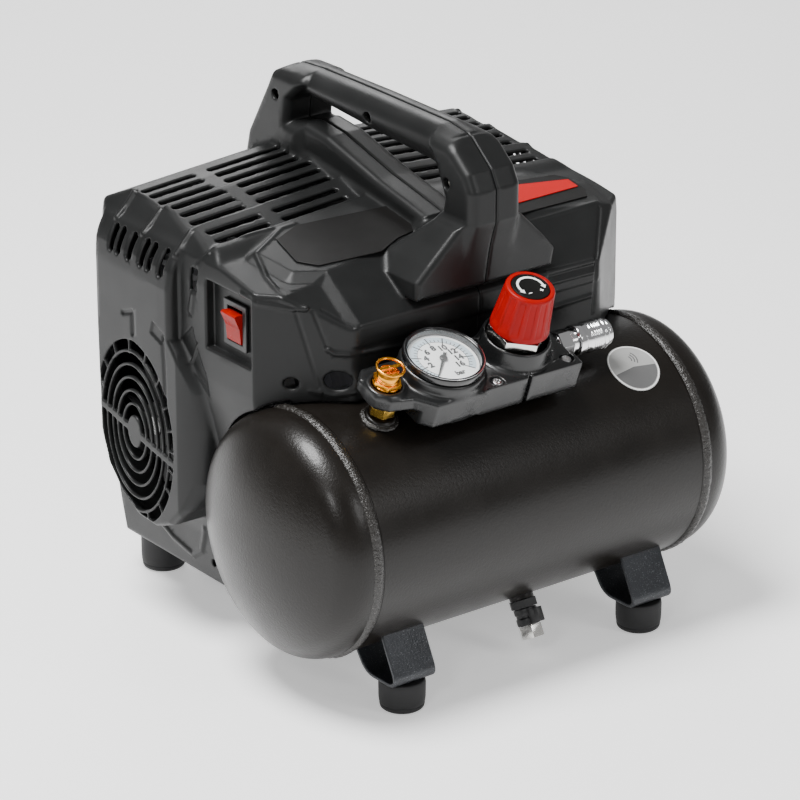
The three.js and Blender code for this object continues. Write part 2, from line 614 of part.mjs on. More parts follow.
// ---- control block ----
const blockLine = [[-112, 12], [-112, -13], [-103, -21], [-83, -23], [-73, -28], [40, -28], [40, 15],
  [30, 20], [-104, 20]];
let block = asSolid(alongZ(blockLine, BLOCK_LOW, BLOCK_TOP));
block = join(
  block,
  moved(turned([[0, BLOCK_LOW], [27.6, BLOCK_LOW], [27.6, 33], [26.6, 35.6], [0, 35.6]], 36),
    shift(GAUGE_X, 0, 0)),
  moved(turned([[0, BLOCK_LOW], [24.5, BLOCK_LOW], [24.5, 28], [22.6, 35], [0, 35]], 32),
    shift(KNOB_X, 0, 0)),
  moved(disc(12.5, BLOCK_LOW, 29, 24), shift(VALVE_X, 0, 0)),
);
block = cut(
  block,
  box(-113, 60, 20.5, 60, 0, 60),
  moved(disc(25.3, 29.6, 50, 36), shift(GAUGE_X, 0, 0)),
  moved(disc(20, 30, 50, 32), shift(KNOB_X, 0, 0)),
  moved(disc(9.3, 25, 50, 20), shift(VALVE_X, 0, 0)),
  moved(disc(5.3, 0, 16, 16), shift(VALVE_X + 2, 0, 0)),
  box(-3, 0, -40, -24.5, 0, BLOCK_TOP + 1),
);
add("control_block", "nylon", onShoulder(block));

const nipple = join(ring(3.2, 4.7, -4, 15, 16), cut(hex(8.6, 4.3, 7.6), disc(3.9, 0, 20, 16)));
add("outlet_nipple", "brass", onShoulder(moved(nipple, shift(VALVE_X + 2, 0, 0))));

const onGauge = (m) => onShoulder(moved(m, shift(GAUGE_X, 0, 0)));
add("gauge_case", "nylon", onGauge(turned([[0, 30], [25, 30], [25, 35.9], [26.4, 35.9], [26.4, 39.6],
  [25.4, 40.8], [23.6, 40.8], [23.3, 35], [0, 35]], 30)));
add("gauge_dial", "dial_white", onGauge(ring(1.3, 22.9, 35.3, 35.9, 30)));
const needle = join(
  alongZ([[-1.1, -6.5], [1.1, -6.5], [0.9, 0], [0.35, 17], [-0.35, 17], [-0.9, 0]], 36.8, 37.3),
  disc(2.6, 36.5, 38, 16),
);
const NEEDLE_REST = THREE.MathUtils.degToRad(135);
add("gauge_needle", "needle_black", onGauge(moved(needle, turnZ(NEEDLE_REST))));
add("gauge_lens", "lens", onGauge(disc(22.9, 39.2, 40.2, 30)));

const onKnob = (m) => onShoulder(moved(m, shift(KNOB_X, 0, 0)));
add("regulator_nut", "chrome", onKnob(cut(join(hex(18.6, 35.6, 45), disc(15.5, 30.3, 36, 24)),
  disc(7.2, 20, 60, 20))));
const knobRim = Array.from({ length: 72 }, (_, i) => {
  const a = (i * 2 * Math.PI) / 72;
  const r = 19 - (i % 4 === 0 ? 0.7 : 0);
  return [r * Math.cos(a), r * Math.sin(a)];
});
const knobBody = alongZ(knobRim, 0, 31);
const kp = knobBody.attributes.position;
for (let i = 0; i < kp.count; i += 1) {
  const k = 1 - 0.17 * (kp.getZ(i) / 31);
  kp.setXYZ(i, kp.getX(i) * k, kp.getY(i) * k, kp.getZ(i));
}
add("regulator_knob", "knob_red", onKnob(moved(
  cut(join(cut(knobBody, disc(16.3, -1, 20, 24)), disc(6.6, -12, 22, 16)), disc(12.6, 30.2, 40, 28)),
  shift(0, 0, 46.4))));
add("knob_cap", "inlay", onKnob(disc(12.2, 77, 77.8, 28)));

const onPort = (pts, segs = 24) => onShoulder(moved(turnedX(pts, segs), shift(0, 0, PORT_H)));
add("coupler_body", "chrome", onShoulder(moved(join(
  turnedX(close([[4, 40.4], [7.6, 40.4], [7.6, 79], [8.6, 79.5], [8.6, 82], [5, 82], [4.2, 74]]), 24),
  cut(prism(poly(regular(6, 9.8)), 9, [V(0, 1, 0), V(0, 0, 1), V(1, 0, 0)], V(41, 0, 0)),
    turnedX([[0, 30], [5.5, 30], [5.5, 60], [0, 60]], 24)),
), shift(0, 0, PORT_H))));
add("coupler_sleeve", "chrome", onPort(close([[8, 55], [10.2, 55], [10.2, 60], [9.6, 60.6], [9.6, 64.4],
  [10.2, 65], [10.2, 78], [8, 78]])));

const onValve = (m) => onShoulder(moved(m, shift(VALVE_X, 0, 0)));
add("safety_valve_body", "brass", onValve(cut(join(hex(9.6, 29.4, 33), disc(8.8, 25.4, 30, 20),
  turned([[0, 32], [7.4, 32], [7.4, 37.5], [6, 39.5], [0, 39.5]], 20)), disc(1.6, 36, 45, 12))));
const pullRing = turned(close(regular(6, 0.8).map(([r, h]) => [r + 7, h])), 20);
add("safety_valve_pull", "brass", onValve(join(disc(1.2, 36.6, 42.6, 10),
  box(-6.6, 6.6, -0.9, 0.9, 41.2, 42.8), moved(pullRing, shift(0, 0, 42)))));

// ---- drain valve ----
add("drain_valve_body", "nylon", onDrain(cut(join(hex(8.4, 2.8, 9), disc(7, 8.5, 19.5, 20),
  box(-3, 3, 4, 13.5, 10, 18)), disc(3.2, 13, 30, 16), disc(2, -4, 30, 12))));
add("drain_knob", "chrome", onDrain(join(hex(7.6, 20, 28), disc(2.9, 14, 21, 14))));

export default group;
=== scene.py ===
import itertools
import math

import bmesh
import bpy
import numpy as np
import openvdb
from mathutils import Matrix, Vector, noise


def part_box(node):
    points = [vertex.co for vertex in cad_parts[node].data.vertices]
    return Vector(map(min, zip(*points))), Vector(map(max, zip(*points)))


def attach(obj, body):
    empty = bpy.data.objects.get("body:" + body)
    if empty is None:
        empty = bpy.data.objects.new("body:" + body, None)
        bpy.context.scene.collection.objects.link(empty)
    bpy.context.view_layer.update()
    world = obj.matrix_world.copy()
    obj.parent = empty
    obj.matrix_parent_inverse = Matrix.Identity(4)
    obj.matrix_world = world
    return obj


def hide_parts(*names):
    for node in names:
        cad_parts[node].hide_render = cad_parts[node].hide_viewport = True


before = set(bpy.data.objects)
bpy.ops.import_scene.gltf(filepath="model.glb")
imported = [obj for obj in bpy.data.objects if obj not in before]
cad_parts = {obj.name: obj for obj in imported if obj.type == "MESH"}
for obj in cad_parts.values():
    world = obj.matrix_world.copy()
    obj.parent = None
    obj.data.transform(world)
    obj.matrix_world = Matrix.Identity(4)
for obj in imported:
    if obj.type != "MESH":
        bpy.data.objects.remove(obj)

# Portable air compressor: the fine surfaces, finishes, camera and lights over the CAD assembly.
# Shapes are drawn in millimetres with Y counted from the line of the front feet, as the CAD part is.
MM = 0.001
TANK_R, TANK_Y, TANK_Z, TANK_WALL = 80.0, 56.0, 109.0, 3
BARREL_HALF, SHELL_HALF, SKIRT, DOME_DEPTH, KNUCKLE_R = 127.0, 127.3, 9.0, 38.3, 24.3
FAN_Y, FAN_Z = 208.5, 130.0
SWITCH_Y, SWITCH_Z = 111.6, 231.5
POCKET_X, ROCKER_X, ROCKER_TILT = 139.0, 139.8, math.radians(-14)
FOOT_X, REAR_FOOT_Y, PLATE = 96.0, 264.0, 2.5
# The control block leans back over the tank, and the drain valve leans forward under it.
TILT, DRAIN_TILT = math.radians(20), math.radians(28)
VALVE_X, OUTLET_X, GAUGE_X, KNOB_X, DRAIN_X, PORT_H = -94.0, -92.0, -52.0, 5.0, 13.0, 19.0
STICKER_X, STICKER_LEAN = 98.5, math.radians(32.5)
SIDES = (("right", 1), ("left", -1))
tank_low, tank_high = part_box("tank_shell")
SHIFT_Y = TANK_Y - (tank_low.y + tank_high.y) / 2 / MM
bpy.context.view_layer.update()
HOUSING_STEP = 0.8
BEVELLED_ANGLE = 60.0


# ---------------------------------------------------------------- distance fields
def grid(low, high, step):
    """Three broadcastable coordinate arrays that fill the box from low to high."""
    x, y, z = (np.arange(a, b + step, step, dtype=np.float32) for a, b in zip(low, high))
    return x[:, None, None], y[None, :, None], z[None, None, :]


def outline(points, a, b):
    """Signed distance to a closed outline in the plane of a and b, negative inside."""
    nearest = np.float32(1e9)
    inside = np.zeros(np.broadcast(a, b).shape, bool)
    for (pa, pb), (qa, qb) in zip(points, points[1:] + points[:1]):
        ea, eb = qa - pa, qb - pb
        wa, wb = a - pa, b - pb
        t = np.clip((wa * ea + wb * eb) / (ea * ea + eb * eb), 0, 1)
        nearest = np.minimum(nearest, (wa - ea * t) ** 2 + (wb - eb * t) ** 2)
        if qb != pb:
            crosses = ((pb <= b) & (qb > b)) | ((qb <= b) & (pb > b))
            inside ^= crosses & (wa < ea * wb / eb)
    return np.where(inside, -np.sqrt(nearest), np.sqrt(nearest)).astype(np.float32)


def wire(points, radius, x, y, z):
    """Signed distance to a bent round wire through points in space."""
    nearest = np.float32(1e9)
    for p, q in zip(points, points[1:]):
        e = [b - a for a, b in zip(p, q)]
        w = [c - a for c, a in zip((x, y, z), p)]
        t = np.clip(sum(wi * ei for wi, ei in zip(w, e)) / sum(ei * ei for ei in e), 0, 1)
        nearest = np.minimum(nearest, sum((wi - ei * t) ** 2 for wi, ei in zip(w, e)))
    return np.sqrt(nearest) - radius


def both(a, b, r=0.0):
    """Where a and b meet, with the edge between them rounded to radius r."""
    if r <= 0:
        return np.maximum(a, b)
    corner = np.sqrt(np.maximum(a + r, 0) ** 2 + np.maximum(b + r, 0) ** 2)
    return np.minimum(-r, np.maximum(a, b)) + corner


def either(a, b, r=0.0):
    """a joined to b, with a fillet of radius r."""
    return -both(-a, -b, r)


def without(a, b, r=0.0):
    """a with b cut away, with the new edge rounded to radius r."""
    return both(a, -b, r)


def ramp(v, start, end):
    """0 before start, 1 after end, and smooth between."""
    t = np.clip((v - start) / (end - start), 0, 1)
    return t * t * (3 - 2 * t)


def skin(field, low, step, adapt=0.0):
    """Vertices (mm) and faces of the surface where a field is zero, faces pointing out."""
    volume = openvdb.FloatGrid(3.0 * step)
    volume.copyFromArray(np.clip(field, -3 * step, 3 * step).astype(np.float32))
    points, triangles, quads = volume.convertToPolygons(isovalue=0.0, adaptivity=adapt)
    points = points * step + np.array(low, np.float32)
    a, b, c = (points[quads[:, i]] for i in (0, 1, 2))
    volume_sign = np.einsum("ij,ij->i", a.astype(float), np.cross(b, c).astype(float)).sum()
    if volume_sign < 0:
        triangles, quads = triangles[:, ::-1], quads[:, ::-1]
    return points, triangles, quads


# ---------------------------------------------------------------- mesh pieces
def xyz(points):
    """The three coordinates of some points, as floats."""
    return np.array(points, float).reshape(-1, 3).T


def to_frame(points):
    """Drawing millimetres to frame metres."""
    x, y, z = xyz(points)
    return np.stack([x, y - SHIFT_Y, z], 1) * MM


def leaned(x, y, h, angle):
    """Coordinates turned about the tank's axis by an angle, h being the distance from the axis."""
    c, s = math.cos(angle), math.sin(angle)
    return np.stack([x, TANK_Y + y * c - h * s, TANK_Z + y * s + h * c], 1)


def on_shoulder(points, x0=0.0):
    """Control block coordinates (along the tank, back, height above the tank wall) to drawing ones."""
    x, y, h = xyz(points)
    return leaned(x + x0, y, h + TANK_R, TILT)


def standing_at(x0):
    """The mapping for a piece that stands on the control block's line, x0 along the tank."""
    return lambda points: on_shoulder(points, x0)


on_outlet, on_valve, on_gauge, on_knob = map(standing_at, (OUTLET_X, VALVE_X, GAUGE_X, KNOB_X))


def on_drain(points):
    """Drain coordinates (height measured away from the tank wall) to drawing ones."""
    x, y, h = xyz(points)
    return leaned(x + DRAIN_X, -y, -(h + TANK_R), -DRAIN_TILT)


def place(points, x=0.0, y=0.0, z=0.0):
    """Points moved by (x, y, z)."""
    return np.array(points, float).reshape(-1, 3) + np.array([x, y, z])


def finish_piece(mesh, name, material, stands_for, body="chassis"):
    """The object for a finished mesh, with its material and what the frame needs to know of it."""
    obj = bpy.data.objects.new(name, mesh)
    bpy.context.scene.collection.objects.link(obj)
    mesh.materials.append(material)
    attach(obj, body)
    if stands_for:
        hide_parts(*stands_for)
    return obj


def piece(name, solid, material, stands_for=(), mapping=None, body="chassis", bevel=0.0,
          segments=2, angle=30.0):
    """One object from a solid (points, faces), smooth below an angle and bevelled if asked."""
    points, faces = solid
    if mapping:
        points = mapping(points)
    mesh = bpy.data.meshes.new(name)
    mesh.from_pydata(to_frame(points).tolist(), [], [list(f) for f in faces])
    work = bmesh.new()
    work.from_mesh(mesh)
    bmesh.ops.recalc_face_normals(work, faces=work.faces)
    work.to_mesh(mesh)
    work.free()
    obj = finish_piece(mesh, name, material, stands_for, body)
    if bevel:
        edge = obj.modifiers.new("edges", "BEVEL")
        edge.width = bevel * MM
        edge.segments = segments
        edge.limit_method = "ANGLE"
        edge.angle_limit = math.radians(angle)
        edge.harden_normals = False
    mesh.shade_smooth()
    mesh.set_sharp_from_angle(angle=math.radians(BEVELLED_ANGLE if bevel else angle))
    return obj


def lathe(profile, segments=64, wobble=None):
    """A profile (radius, height) turned round +Z; its ends lie on the axis or close on each other."""
    points, faces, rows = [], [], []
    for r, h in profile:
        if r < 1e-6:
            rows.append([len(points)])
            points.append((0.0, 0.0, h))
            continue
        row = []
        for i in range(segments):
            a = 2 * math.pi * i / segments
            k = r + (wobble(a, r, h) if wobble else 0.0)
            row.append(len(points))
            points.append((k * math.cos(a), k * math.sin(a), h))
        rows.append(row)
    closed = len(rows[0]) > 1
    pairs = list(zip(rows, rows[1:])) + ([(rows[-1], rows[0])] if closed else [])
    for low, high in pairs:
        n = max(len(low), len(high))
        if n == 1:
            continue
        for i in range(n):
            j = (i + 1) % n
            ring = [low[i % len(low)], low[j % len(low)], high[j % len(high)], high[i % len(high)]]
            faces.append([v for k, v in enumerate(ring) if v not in ring[:k]])
    return np.array(points), faces


def rounded(profile, radius, steps=3):
    """A (radius, height) profile with each inner corner replaced by a short arc."""
    out = [profile[0]]
    for before, here, after in zip(profile, profile[1:], profile[2:]):
        h = Vector(here)
        u, v = Vector(before) - h, Vector(after) - h
        cut = min(radius, u.length * 0.45, v.length * 0.45)
        a, b = h + u.normalized() * cut, h + v.normalized() * cut
        for i in range(steps + 1):
            t = i / steps
            out.append(tuple(a * (1 - t) ** 2 + h * 2 * t * (1 - t) + b * t * t))
    out.append(profile[-1])
    return out


def tube_line(r0, r1, h0, h1):
    """The profile of a plain tube, or of a rod when the inner radius is 0."""
    return [(r0, h0), (r1, h0), (r1, h1), (r0, h1)]


def turned(profile, radius, segments=48, steps=3, wobble=None):
    """A turned solid whose profile has its corners rounded."""
    return lathe(rounded(profile, radius, steps), segments, wobble)


def prism(points, h0, h1):
    """Vertices and faces of an outline raised from h0 to h1."""
    n = len(points)
    verts = [(a, b, h0) for a, b in points] + [(a, b, h1) for a, b in points]
    sides = [[i, (i + 1) % n, n + (i + 1) % n, n + i] for i in range(n)]
    return np.array(verts), [list(range(n))[::-1], list(range(n, 2 * n))] + sides


def slab(cx, cy, half_x, half_y, h0, h1):
    """A box centred on (cx, cy) that stands from h0 to h1."""
    corners = [(cx - half_x, cy - half_y), (cx + half_x, cy - half_y), (cx + half_x, cy + half_y),
               (cx - half_x, cy + half_y)]
    return prism(corners, h0, h1)


def join(*solids):
    """Several loose solids as one."""
    points, faces, count = [], [], 0
    for p, rings in solids:
        points.append(np.array(p, float).reshape(-1, 3))
        faces += [[v + count for v in ring] for ring in rings]
        count += len(p)
    return np.concatenate(points), faces


def turn_to_x(points):
    """Swings a piece that stands on +Z so that it points along +X."""
    x, y, z = xyz(points)
    return np.stack([z, y, -x], 1)


def regular(n, r, turn=0.0):
    """The corners of a regular polygon."""
    return [(r * math.cos(turn + 2 * math.pi * i / n), r * math.sin(turn + 2 * math.pi * i / n))
            for i in range(n)]


# ---------------------------------------------------------------- materials
TONE_SPAN = (0.3, 0.7)
DUST_COLOR = (0.32, 0.31, 0.3)


def shade(color, k):
    """A colour made lighter or darker, with its alpha."""
    return tuple(min(1.0, c * k) for c in color) + (1.0,)


def surface(name, color, rough, metal=0.0, spread=0.12, tint=0.12, patch=35.0, grain=1400.0, depth=0.05,
            swell=0.0, swell_scale=300.0, coat=0.0, spec=0.5, stretch=None, flecks_and_glints=None, dust=0.0, glow=0.0,
            alpha=1.0):
    """A procedural finish: patchy tint and roughness, fine grain, a broad swell, specks (painted glints on
    the weld bead), dust, or a glow (painted light on the rocker).
    """
    mat = bpy.data.materials.new(name)
    mat.use_nodes = True
    nodes, links = mat.node_tree.nodes, mat.node_tree.links

    def feed(node, inputs):
        for key, value in inputs.items():
            if isinstance(value, bpy.types.NodeSocket):
                links.new(value, node.inputs[key])
            else:
                node.inputs[key].default_value = value
        return node

    source = nodes.new("ShaderNodeTexCoord").outputs["Object"]
    if stretch:
        mapping = feed(nodes.new("ShaderNodeMapping"), {"Scale": stretch, "Vector": source})
        source = mapping.outputs["Vector"]

    def noise_map(size, detail, roughness=0.55):
        inputs = {"Scale": size, "Detail": detail, "Roughness": roughness, "Vector": source}
        return feed(nodes.new("ShaderNodeTexNoise"), inputs).outputs["Fac"]

    def remap(value, low, high, out_low, out_high):
        inputs = {"From Min": low, "From Max": high, "To Min": out_low, "To Max": out_high, "Value": value}
        return feed(nodes.new("ShaderNodeMapRange"), inputs).outputs["Result"]

    def mixed(base, mask, extra):
        mix = nodes.new("ShaderNodeMix")
        mix.data_type = "RGBA"
        return feed(mix, {"Factor": mask, "A": base, "B": extra + (1.0,)}).outputs["Result"]

    def bump(height, distance, inputs):
        inputs = {"Strength": 1.0, "Distance": distance * MM, "Height": height} | inputs
        return feed(nodes.new("ShaderNodeBump"), inputs).outputs["Normal"]

    broad = noise_map(patch, 4.0)
    fine = noise_map(grain, 3.0)
    tones = nodes.new("ShaderNodeValToRGB")
    for end, position, k in zip(tones.color_ramp.elements, TONE_SPAN, (1 - tint, 1 + tint)):
        end.position = position
        end.color = shade(color, k)
    tone = feed(tones, {"Fac": broad}).outputs["Color"]
    # Specks mixed into the colour: real flecks of the hammered paint on the brackets, painted glints on the
    # weld bead.
    if flecks_and_glints:
        speck_scale, speck_edge, fleck_and_glint_color = flecks_and_glints
        mask = remap(noise_map(speck_scale, 2.0), speck_edge, speck_edge + 0.05, 0.0, 1.0)
        tone = mixed(tone, mask, fleck_and_glint_color)
    if dust:
        mask = remap(noise_map(9.0, 6.0, 0.65), 0.5, 0.78, 0.0, dust)
        tone = mixed(tone, mask, DUST_COLOR)
    normal = bump(fine, depth, {})
    if swell:
        normal = bump(noise_map(swell_scale, 1.0), swell, {"Normal": normal})
    roughness = remap(broad, 0.25, 0.75, rough - spread / 2, rough + spread / 2)
    bsdf = feed(nodes["Principled BSDF"], {
        "Base Color": tone, "Metallic": metal, "Roughness": roughness, "Normal": normal,
        "Specular IOR Level": spec, "Coat Weight": coat, "Coat Roughness": 0.12, "Alpha": alpha})
    # Emission: the floor glows evenly, and the rocker's glow is painted light.
    if glow:
        feed(bsdf, {"Emission Color": tone, "Emission Strength": glow})
    return mat


PLASTIC = surface("housing_plastic", (0.0085, 0.0088, 0.0088), 0.37, grain=2200, depth=0.06, tint=0.1,
                  dust=0.004, spec=0.24)
TANK_PAINT = surface("tank_enamel", (0.0058, 0.0046, 0.0036), 0.33, grain=1000, depth=0.1, swell=0.1,
                     swell_scale=520, coat=0.08, tint=0.15, spread=0.1, spec=0.26)
# The weld bead's light specks are painted glints: sparkle mixed into its colour where the real bead catches
# the light.
GLINTING_WELD = surface("weld_bead", (0.012, 0.0105, 0.009), 0.26, grain=1700, depth=0.3, swell=0.4, swell_scale=800,
               flecks_and_glints=(1500, 0.67, (0.22, 0.21, 0.2)))
HAMMERED = surface("bracket_hammered", (0.024, 0.026, 0.03), 0.34, metal=0.35, grain=700, depth=0.16,
                   swell=0.1, swell_scale=350, flecks_and_glints=(1600, 0.64, (0.16, 0.17, 0.18)))
RUBBER = surface("foot_rubber", (0.009, 0.009, 0.0095), 0.6, grain=1200, depth=0.1, spec=0.35)
INLAY = surface("inlay_plate", (0.0035, 0.0032, 0.003), 0.5, spec=0.15, grain=2600, depth=0.02, tint=0.06)
SMOOTH = {"grain": 2500, "depth": 0.01}
RED_PRINT = surface("label_red_print", (0.36, 0.001, 0.002), 0.5, spec=0.12, tint=0.05, **SMOOTH)
SILVER_PRINT = surface("label_silver_print", (0.42, 0.42, 0.41), 0.4, metal=0.3, **SMOOTH)
GREY_PRINT = surface("label_grey_print", (0.12, 0.12, 0.12), 0.42, metal=0.2, **SMOOTH)
WHITE_PRINT = surface("white_print", (0.85, 0.85, 0.84), 0.45, tint=0.03, **SMOOTH)
BLACK_PRINT = surface("black_print", (0.012, 0.012, 0.013), 0.45, **SMOOTH)
BLUE_PRINT = surface("blue_print", (0.50, 0.60, 0.66), 0.5, tint=0.05, **SMOOTH)
STEEL = surface("turned_steel", (0.5, 0.5, 0.5), 0.3, metal=1.0, grain=900, depth=0.02, stretch=(8, 1, 1))
ZINC = surface("zinc_plated", (0.56, 0.55, 0.5), 0.33, metal=1.0, grain=800, depth=0.03)
ALUMINIUM = surface("cast_aluminium", (0.55, 0.55, 0.56), 0.42, metal=1.0, grain=900, depth=0.12)
COPPER = surface("copper_pipe", (0.72, 0.36, 0.2), 0.28, metal=1.0, grain=700, depth=0.02)
LAMINATION = surface("laminations", (0.2, 0.2, 0.22), 0.5, metal=0.7, grain=600, depth=0.1,
                     stretch=(12, 0.3, 0.3))
NYLON = surface("black_nylon", (0.009, 0.009, 0.0095), 0.38, grain=1800, depth=0.06)
BLOCK = surface("block_nylon", (0.0085, 0.0088, 0.009), 0.28, grain=1500, depth=0.05, swell=0.06,
                swell_scale=260)
BEZEL = surface("gauge_bezel", (0.006, 0.006, 0.0065), 0.16, grain=1500, depth=0.01, coat=0.5)
CHROME = surface("chrome_plate", (0.82, 0.82, 0.83), 0.1, metal=1.0, spread=0.06, grain=1200, depth=0.006,
                 tint=0.03)
NUT_CHROME = surface("nut_plate", (0.72, 0.71, 0.68), 0.22, metal=1.0, spread=0.1, grain=1100, depth=0.02,
                     tint=0.05)
BRASS = surface("brass_valve", (0.86, 0.36, 0.03), 0.24, metal=1.0, grain=1000, depth=0.03, tint=0.08)
NIPPLE_BRASS = surface("brass_nipple", (0.84, 0.52, 0.09), 0.25, metal=1.0, grain=1000, depth=0.03)
KNOB_RED = surface("knob_red", (0.28, 0.0003, 0.0006), 0.34, grain=1600, depth=0.02, tint=0.06, spec=0.14)
# The rocker glows a little: painted light for its lit top, though it is no lamp.
GLOWING_ROCKER_RED = surface("rocker_red", (0.24, 0.003, 0.0002), 0.24, spec=0.12, grain=1400, depth=0.01, tint=0.12,
                     patch=120, glow=0.1, coat=0.02)
DIAL = surface("dial_face", (0.87, 0.88, 0.88), 0.5, tint=0.02, **SMOOTH)
NEEDLE = surface("needle_black", (0.01, 0.01, 0.01), 0.35, grain=1500, depth=0.01)
LENS = surface("gauge_lens", (0.6, 0.62, 0.62), 0.03, spread=0.02, grain=300, depth=0.001, tint=0.005,
               alpha=0.07)
FLOOR = surface("pale_floor", (0.9, 0.9, 0.9), 0.6, grain=300, depth=0.02, tint=0.01, patch=2, glow=0.55,
                spec=0.1)

# The inside pieces keep their CAD shape and only get a finish.
PUMP_FINISHES = {
    "crankcase": ALUMINIUM, "pump_bracket": ZINC, "cylinder": ALUMINIUM, "cylinder_head": ALUMINIUM,
    "piston": ALUMINIUM, "fan": NYLON,
}
CAD_FINISHES = {
    "motor_stator": LAMINATION, "motor_rotor": STEEL, "head_link_pipe": ALUMINIUM, "check_valve": BRASS,
    "motor_capacitor": NYLON, "delivery_pipe": COPPER, "pressure_switch": NYLON,
}
CAD_FINISHES |= {f"{node}_{side}": finish for node, finish in PUMP_FINISHES.items() for side, _ in SIDES}
for node, finish in CAD_FINISHES.items():
    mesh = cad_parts[node].data
    mesh.materials.clear()
    mesh.materials.append(finish)


# ---------------------------------------------------------------- housing
# Outlines of one half, drawn for the +X side: (y, z) seen from the side, (x, z) from the front and
# (x, y) from above. The cowl is the raised part that holds the fan guard.
SIDE_LINE = [(46.5, 186), (46.5, 150), (118, 60), (128, 27), (276, 27), (280, 60), (280, 300), (84, 300),
             (84, 281), (45, 249), (45, 227), (46.5, 225)]
PLAN_LINE = [(-20, 45), (95, 45), (145, 88), (147, 150), (147, 252), (122, 280), (-20, 280)]
FRONT_LINE = [(-20, 27), (118, 27), (121, 60), (147, 190), (147, 250), (143, 265), (131, 279), (131, 300),
              (-20, 300)]
COWL_END = [(140, 112), (154, 92), (168, 78), (186, 70.5), (206, 71), (226, 80), (243, 96), (252, 118),
            (254, 200), (254, 268), (165.5, 268), (165.5, 207), (154, 194), (140, 177), (137, 150)]
COWL_FRONT = [(100, 60), (149, 60), (157, 72), (157, 240), (153.5, 252), (143.5, 266.5), (131, 280),
              (100, 284)]
COWL_PLAN = [(120, 104), (157, 158), (157, 178), (153, 262), (90, 290), (60, 290), (60, 104)]
# The roof's height along Y, its fall towards the sides, and the slope of the nose over the tank.
ROOF_Y = [0, 80, 120, 160, 200, 225, 242, 262, 279, 300]
ROOF_Z = [259, 273, 279.5, 285, 290, 291, 290, 281, 256, 220]
ROOF_FALL, ROOF_STEP, ROOF_SCALE = 0.07, 3.4, np.float32(0.95)
NOSE_Y, NOSE_Z, NOSE_SLOPE = 46.5, 241, 0.77
# The carry handle, all in (y, z) but for the gusset, which is in (x, z).
SPINE = [(84, 262), (250, 262), (250, 284), (238, 300), (212, 309), (188, 306.5), (135, 293), (104, 287),
         (84, 283)]
GRIP = [(60, 316), (84, 318.5), (150, 321.5), (214, 326), (232, 328), (232, 342), (209, 344), (150, 345),
        (78, 345), (60, 342)]
REAR_POST = [(210, 270), (277, 262), (270, 290), (249, 326), (243, 337), (236, 341.5), (209, 344),
             (208, 336), (224, 322), (226, 306), (214, 304), (211, 290)]
FRONT_POST = [(46, 245), (92, 262), (92, 276), (73, 283), (62, 295), (60, 304), (68, 321), (77, 333),
              (78, 345), (56, 341), (36, 325), (30, 314), (30, 292), (39, 268)]
GUSSET = [(-10, 247), (54, 247), (55, 260), (46, 270), (20, 296), (-10, 296)]
GUSSET_SIDE = [(41, 246), (85, 246), (85, 268), (62, 292), (36, 292), (38, 268)]
SPINE_HALF, GRIP_HALF, POST_HALF, ARCH, HANDLE_TOP = 16, 15.5, 20, 0.02, 345
SPINE_EDGE, HANDLE_FOOT_Y = (17, 20), 170
# Louvre rows at their places along Y, and the three louvred steps of the roof.
SLOT_ROWS = [232, 222.5, 212.5, 198, 188, 177.5, 160, 150]
CHAMFER_ROWS = [234, 226, 213.5, 199, 190.5, 177]
ROOF_GROUPS = [(204, 240), (170, 204), (143.5, 170)]
ROOF_SLOT_R, CHAMFER_SLOT_R, CHAMFER_SLOT, CHAMFER_Z = 2.2, 2.5, (245.5, 263.5), (247.5, 262.5)
# The handle screws' wells, as (y, z) and the x of the handle's wall.
WELLS = [(237, 323, 20), (144, 331.5, 14), (56, 314, 20)]
WELL_R, WELL_DEPTH, SCREW_SEAT = 3.6, 7, 5.4
# The hood in plan. Towards the front, the roof outside these outlines lies lower.
HOOD_LEFT = [(-30, 138), (86, 137), (117, 121), (112, 91), (94, 80), (92, 40), (-30, 40)]
HOOD_RIGHT = [(-30, 132), (100, 128), (127, 104), (124, 79), (104, 56), (93, 40), (-30, 40)]
HOOD_BEVEL, HOOD_DROP_LEFT, HOOD_DROP_RIGHT, HOOD_FADE = 8.0, 4.0, 2.0, (126, 140)
HOUSING_LOW, HOUSING_HIGH = (-2.0, 26.0, 22.0), (160.0, 284.0, 349.0)
WALL, HANDLE_WALL = 2.8, 3.0
SEAM_HALF, TOP_Z = 0.15, 344.9
# The clearance round the tank, wider over the weld bead and closing in over the dome.
HUG_X, HUG_R = [0, 126, 127.5, 137, 147, 158], [81.2, 81.2, 83, 82.6, 79, 69]
# Boxes as (x, y, z) spans: round the mains switch and for the small vent in the cowl's step.
POCKET_WALL = ((136.2, 200), (87.2, 139.8), (206.7, 257.8))
SWITCH_POCKET = ((139, 190), (90, 137), (209.5, 255))
SWITCH_HOLE = ((120, 150), (101.6, 121.6), (218.5, 244.5))
COWL_VENT = ((130, 170), (146.8, 153.8), (243, 258))
# Dimples in the front: the box they may touch, centre, radii and edge rounding.
DIMPLES = [(((116, 136), (62, 84), (194, 209)), (127, 72.6, 201.4), (5, 5, 3.8), 0.8),
           (((88, 120), (42, 68), (192, 216)), (105, 53.5, 204), (9, 9, 6), 1.2)]


def roof_height(x, y):
    """The plain roof, without its steps and louvres."""
    return np.interp(y, ROOF_Y, ROOF_Z) - ROOF_FALL * np.abs(x)


def hood_sink(u, y, left):
    """The roof's front corner lies lower than the hood, behind a straight bevel."""
    away = outline(HOOD_LEFT if left else HOOD_RIGHT, u, y)
    drop = np.float32(HOOD_DROP_LEFT if left else HOOD_DROP_RIGHT)
    return np.clip(away / HOOD_BEVEL, 0, 1) * drop * (1 - ramp(y, *HOOD_FADE))


